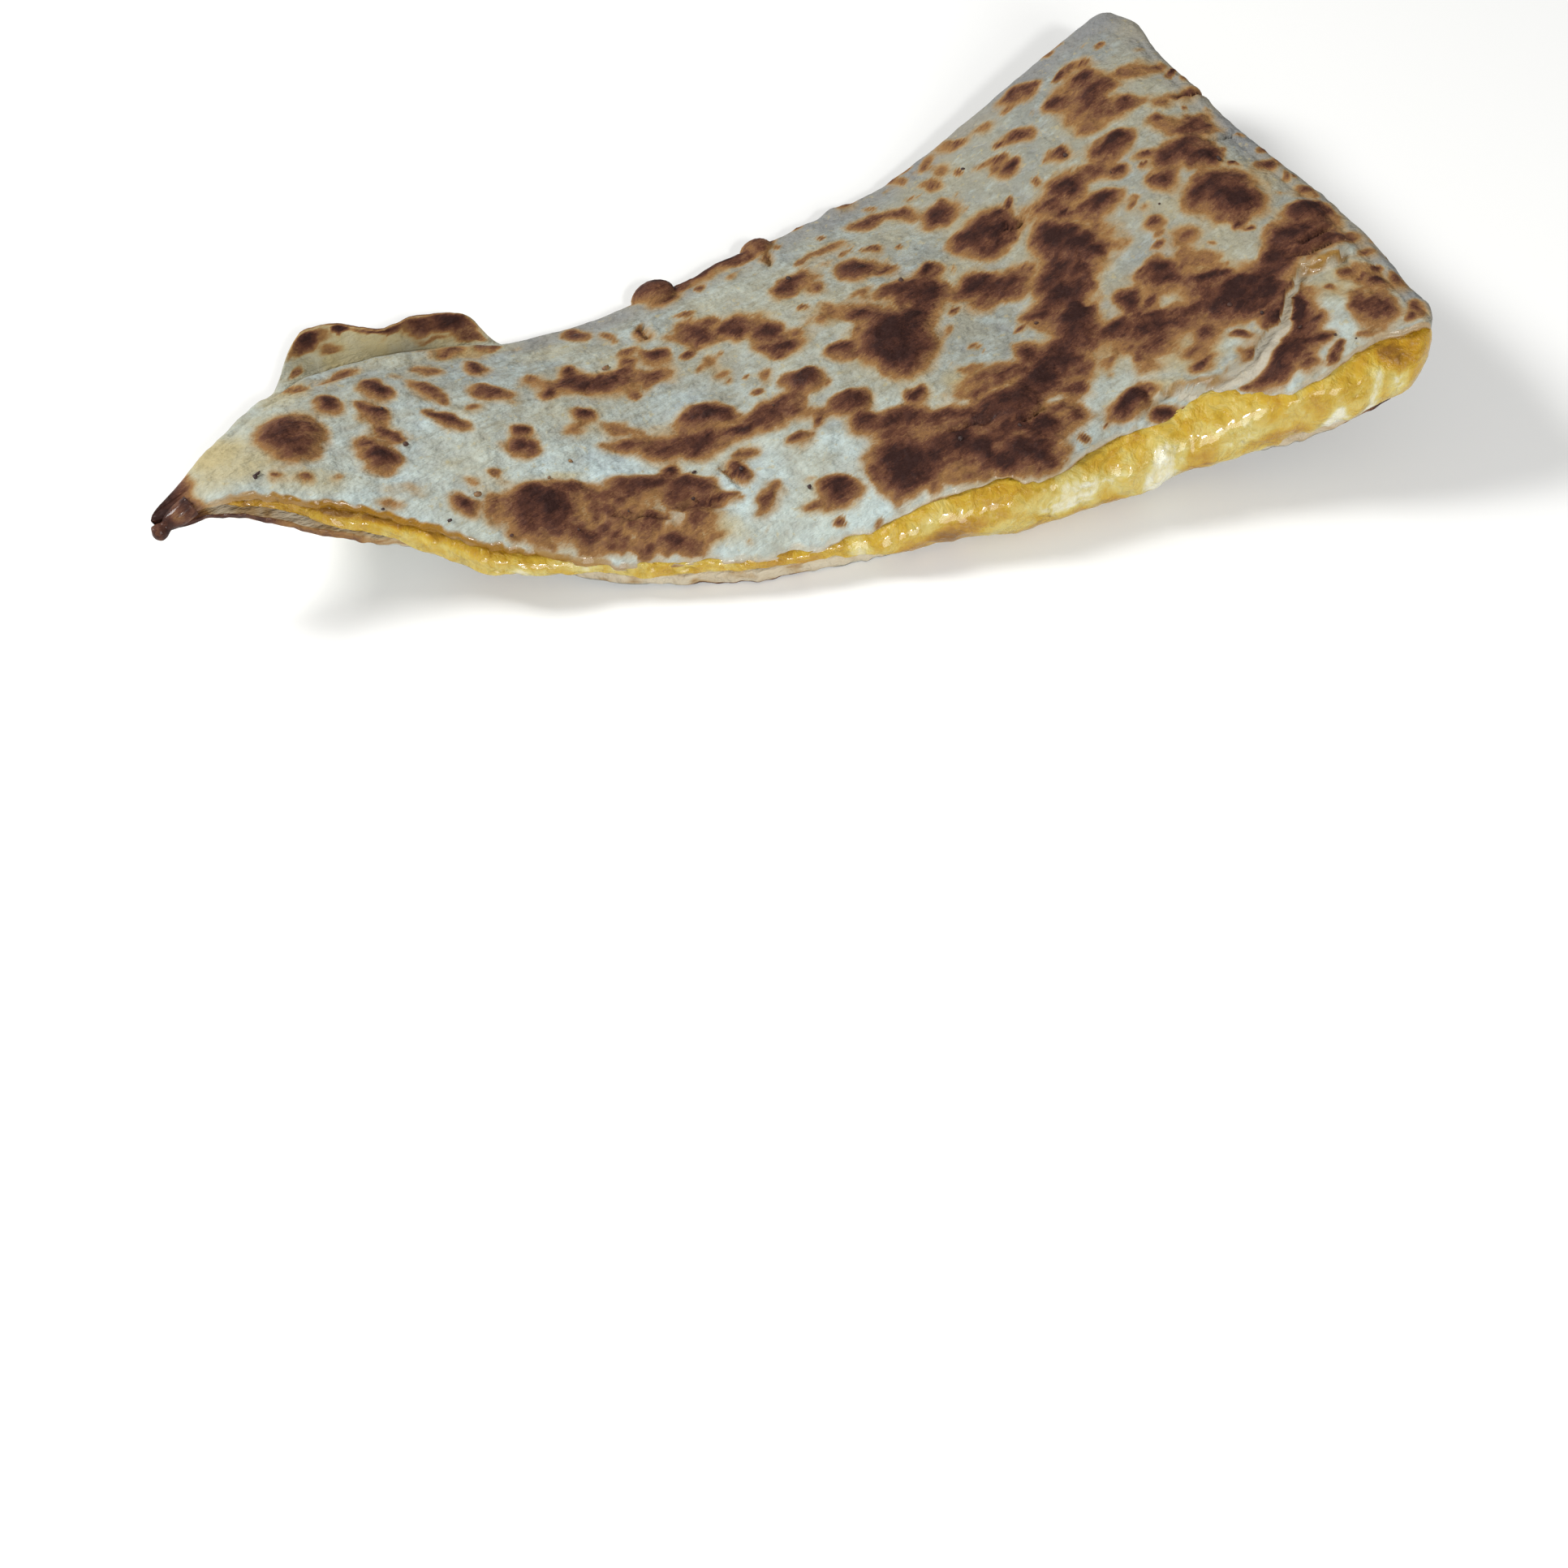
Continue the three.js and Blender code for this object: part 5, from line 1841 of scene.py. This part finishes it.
    def nose(self, sec: Sections, front: Array, neck: Array) -> tuple[Array, Array, Array]:
        """The bulge at the cut, with its folds, its dribbles and its droop over the lower layer's edge.

        Args:
            sec: The sections.
            front: Distance that the bulge reaches.
            neck: Distance where the bulge begins.

        Returns:
            Distances, heights, and the level of each point, from 0 at the bottom to 1 at the top.
        """
        angle = np.linspace(0.0, math.pi, self.nose_rows)[None, :]
        floor, high = self.floor(sec), self.ceiling(sec, neck)
        half = (high - floor) / 2.0
        height = floor + half + half * np.cos(angle)
        level = (height - floor) / (2 * half)
        folds, along = Grain(self.fold_seed), (sec.share * CUT_LENGTH)[:, None]
        wide = along + 2.2 * level
        swell = 0.7 * folds.layered(wide, level * 7 + 20, 6.0, 2)
        swell = swell + 0.3 * folds.layered(wide, level * 9, 2.3, 3)
        swell = swell + 0.2 * folds.layered(wide + 40, level * 5, 1.3, 2)
        distance = neck - (neck - front) * np.sin(angle) ** 0.82 - swell * np.sin(angle) ** 0.7
        hang = profile(self.droop, sec.share)[:, None] * (1.0 + 0.15 * folds.at(along / 5.0, along * 0 + 8))
        edge = along_knots(self.form.bottom_setback, sec.share)[:, None]
        beyond = ease(edge - 0.1, edge - 1.3, distance) * np.clip(hang, 0.0, 1.0)
        stretch = (high - self.lowest) / np.maximum(high - floor, 0.5)
        return distance, blend(height, high - (high - height) * stretch, beyond), level

    def tone(self, sec: Sections, rings: Array, level: Array) -> Array:
        """Tone of the cheese: 0 white, 0.5 yellow, 0.75 orange, 1 amber, with painted shade towards amber at
        the top and bottom of the bulge.

        Args:
            sec: The sections.
            rings: The rings' points.
            level: Level of the nose's rows, 0 at the bottom and 1 at the top.

        Returns:
            One tone for each point.
        """
        base = profile(self.tones, sec.share)[:, None] * np.ones(rings.shape[:2])
        levels = np.full(rings.shape[:2], 0.5)
        start = rings.shape[1] - self.inner_rows - self.nose_rows
        levels[:, start : start + self.nose_rows] = level[:, ::-1]
        x = rings[..., 0]
        curl = Grain(self.swirl_seed).layered(x, levels * 8, 5.0, 2)
        for mark in self.swirls:
            base = base + mark.cover(x + 1.2 * curl, levels + 0.12 * curl, 0.4, 1.5)
        # painted shade: the bulge is toned darker, towards amber, in its top rows under the upper layer's
        # lip and in its bottom rows
        base = base + 0.12 * ease(0.84, 1.0, levels) + 0.14 * (1.0 - ease(0.0, 0.16, levels)) - 0.06
        return np.clip(base, 0.0, 1.0)


@dataclass(frozen=True)
class BurntDrip:
    """The bead of burnt cheese that hangs off the left tip on a short neck."""

    path: tuple[Numbers, ...] = (
        (-81.6, -31.0, 15.6), (-83.2, -32.0, 15.3), (-84.3, -32.6, 14.9), (-85.0, -33.0, 14.5),
        (-85.7, -33.4, 14.2), (-86.3, -33.7, 13.9), (-86.8, -33.9, 13.7),
    )
    radii: Numbers = (1.5, 1.4, 1.15, 0.85, 1.1, 1.05, 0.3)
    rings: int = 26
    sides: int = 22
    seed: int = 81

    def build(self) -> Surface:
        """Build the bead.

        Returns:
            Its surface, with scorch painted on.
        """
        share = np.linspace(0.0, 1.0, self.rings)
        middle = np.stack([profile([p[n] for p in self.path], share) for n in range(3)], axis=-1)
        run = np.gradient(middle, axis=0)
        run /= np.linalg.norm(run, axis=1, keepdims=True)
        aside = np.cross(run, (0.0, 0.0, 1.0))
        aside /= np.linalg.norm(aside, axis=1, keepdims=True)
        above = np.cross(aside, run)
        angle = np.linspace(0.0, math.tau, self.sides, endpoint=False)
        lumps = Grain(self.seed)
        radius = np.maximum(profile(self.radii, share), 0.05)[:, None]
        radius = radius * (1.0 + 0.1 * lumps.at(share[:, None] * 5 + 3, np.cos(angle)[None, :] * 1.5 + 9))
        radius[-1] = 0.05
        c, s = np.cos(angle)[None, :, None], np.sin(angle)[None, :, None]
        ring = middle[:, None] + radius[..., None] * (c * aside[:, None] + s * above[:, None])
        cap = np.array([(0, i + 1, i) for i in range(1, self.sides - 1)])
        quads, caps = ring_loft(ring, cap)
        burnt = np.clip(0.75 + 0.35 * lumps.layered(ring[..., 0], ring[..., 2], 1.6, 2), 0.0, 1.0)
        wet = np.full(ring.shape[:2], 0.35)
        return Surface(ring.reshape(-1, 3), quads, caps, {"scorch": burnt, "soak": wet})


@dataclass
class LooseCrumbs:
    """Burnt specks and crumbs that lie on the upper skin."""

    skin: Array
    skin_rows: int
    count: int = 34
    sizes: tuple[float, float] = (0.16, 0.5)
    seed: int = 71

    def build(self) -> Surface:
        """Build all the crumbs as one surface.

        Returns:
            The joined surface, with scorch painted on.
        """
        rng = np.random.default_rng(self.seed)
        points, faces, burnt = [], [], []
        stations = self.skin.shape[0]
        for _ in range(self.count):
            j = int(rng.integers(int(0.06 * stations), int(0.96 * stations)))
            i = int(rng.integers(4, self.skin_rows))
            here = self.skin[j, i]
            ahead, aside = self.skin[j, i + 1] - here, self.skin[j + 1, i] - here
            normal = np.cross(aside, ahead)
            normal = normal / max(np.linalg.norm(normal), 1e-9)
            lump = self.lump(rng) * rng.uniform(*self.sizes)
            start = sum(len(p) for p in points)
            points.append(here + normal * 0.08 + lump)
            faces.append(self.lump_faces() + start)
            burnt.append(np.full(len(lump), rng.choice((0.5, 0.9, 1.0), p=(0.2, 0.4, 0.4))))
        no_quads = np.zeros((0, 4), dtype=int)
        return Surface(np.vstack(points), no_quads, np.vstack(faces), {"scorch": np.concatenate(burnt)})

    @staticmethod
    def lump(rng: np.random.Generator) -> Array:
        """Points of one uneven crumb of about unit size.

        Args:
            rng: The crumbs' random numbers.

        Returns:
            The bottom point, a low ring of six, a high ring of six and the top point.
        """
        corners = [(0.0, 0.0, -1.0)]
        for rise, turned in ((-0.6, 0.0), (0.6, 0.5)):
            flat = math.cos(rise)
            for a in (k * math.tau / 6 + turned for k in range(6)):
                corners.append((math.cos(a) * flat, math.sin(a) * flat, math.sin(rise)))
        corners = np.array([*corners, (0.0, 0.0, 1.0)])
        stretch = np.array([rng.uniform(0.7, 1.6), rng.uniform(0.6, 1.1), rng.uniform(0.4, 0.8)])
        turn = rng.uniform(0, math.tau)
        c, s = math.cos(turn), math.sin(turn)
        spin = np.array([(c, s, 0), (-s, c, 0), (0, 0, 1)])
        return (corners * rng.uniform(0.75, 1.2, (len(corners), 1)) * stretch) @ spin

    @staticmethod
    def lump_faces() -> Array:
        """Triangles of one crumb.

        Returns:
            Rows of three of its points' numbers.
        """
        faces = []
        for k in range(6):
            low, low_next, high, high_next = 1 + k, 1 + (k + 1) % 6, 7 + k, 7 + (k + 1) % 6
            faces += [(0, low_next, low), (low, low_next, high)]
            faces += [(low_next, high_next, high), (high, high_next, 13)]
        return np.array(faces)


# ---- Table, light and camera ----


@dataclass(frozen=True)
class Studio:
    """Plain pale floor, plain soft light and the camera."""

    camera_at: tuple[float, float, float] = (-34.9, -205.5, 208.5)
    camera_pitch: float = 32.184
    camera_turn: float = -10.0
    lens: float = 44.72
    sensor: float = 36.0
    sky: float = 0.34
    floor_half: float = 3.0

    def build(self) -> None:
        """Make the floor, the lights and the camera."""
        half = self.floor_half
        floor = Surface(
            np.array([(-half, -half, 0), (half, -half, 0), (half, half, 0), (-half, half, 0)]) / MM,
            np.array([(0, 1, 2, 3)]),
        ).as_object("floor")
        floor.data.materials.append(BoardFinish().material())
        world = bpy.data.worlds.new("soft_sky")
        world.use_nodes = True
        background = world.node_tree.nodes["Background"]
        background.inputs["Color"].default_value = (1.0, 1.0, 1.0, 1.0)
        background.inputs["Strength"].default_value = self.sky
        bpy.context.scene.world = world
        self.lamp("window_light", (-0.62, 0.28, 0.5), 0.22, 7.4)
        self.lamp("front_light", (0.12, -0.68, 0.36), 0.3, 2.4)
        self.lamp("small_light", (0.08, -0.6, 0.55), 0.06, 2.2)
        view = bpy.context.scene.view_settings
        view.view_transform = "Standard"
        camera = bpy.data.objects.new("camera", bpy.data.cameras.new("camera"))
        camera.location = [v * MM for v in self.camera_at]
        camera.rotation_euler = (math.radians(self.camera_pitch), 0.0, math.radians(self.camera_turn))
        camera.data.lens = self.lens
        camera.data.sensor_width = self.sensor
        camera.data.clip_start = 0.01
        bpy.context.scene.collection.objects.link(camera)
        bpy.context.scene.camera = camera

    @staticmethod
    def lamp(name: str, at: tuple[float, float, float], size: float, power: float) -> None:
        """Hang a soft square lamp that faces the food.

        Args:
            name: The lamp's name.
            at: Its place in metres.
            size: Length of its side in metres.
            power: Its power in watts.
        """
        data = bpy.data.lights.new(name, "AREA")
        data.energy = power
        data.size = size
        lamp = bpy.data.objects.new(name, data)
        lamp.location = at
        x, y, z = at
        lamp.rotation_euler = (math.atan2(math.hypot(x, y), z), 0.0, math.atan2(y, x) + math.pi / 2)
        bpy.context.scene.collection.objects.link(lamp)


# ---- The scene ----


def dress(
    piece: bpy.types.Object, material: bpy.types.Material, stands_for: str | None = None
) -> None:
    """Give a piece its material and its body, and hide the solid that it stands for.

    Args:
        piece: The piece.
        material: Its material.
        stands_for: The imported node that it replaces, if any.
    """
    piece.data.materials.append(material)
    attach(piece, "root")
    if stands_for:
        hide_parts(stands_for)
    log.info("%s: %d faces", piece.name, len(piece.data.polygons))


def main() -> None:
    """Build the wedge, the table and the light."""
    logging.basicConfig(level=logging.INFO, format="%(name)s: %(message)s")
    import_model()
    effects = Effects()
    form, marks = WedgeForm(), GriddleMarks()
    tortilla = TortillaSheet(form, marks)
    skin = TortillaFinish(effects).material()
    dress(tortilla.build().as_object("tortilla_sheet"), skin, "tortilla")
    filling = CheeseFilling(form)
    melted = CheeseFinish(effects).material()
    dress(filling.build().as_object("cheese_filling"), melted, "cheese")
    dress(BurntDrip().build().as_object("burnt_drip"), skin)
    crumbs = LooseCrumbs(tortilla.outer, tortilla.top_rows)
    dress(crumbs.build().as_object("loose_crumbs"), CrumbFinish(effects).material())
    Studio().build()


if __name__ == "__main__":
    main()
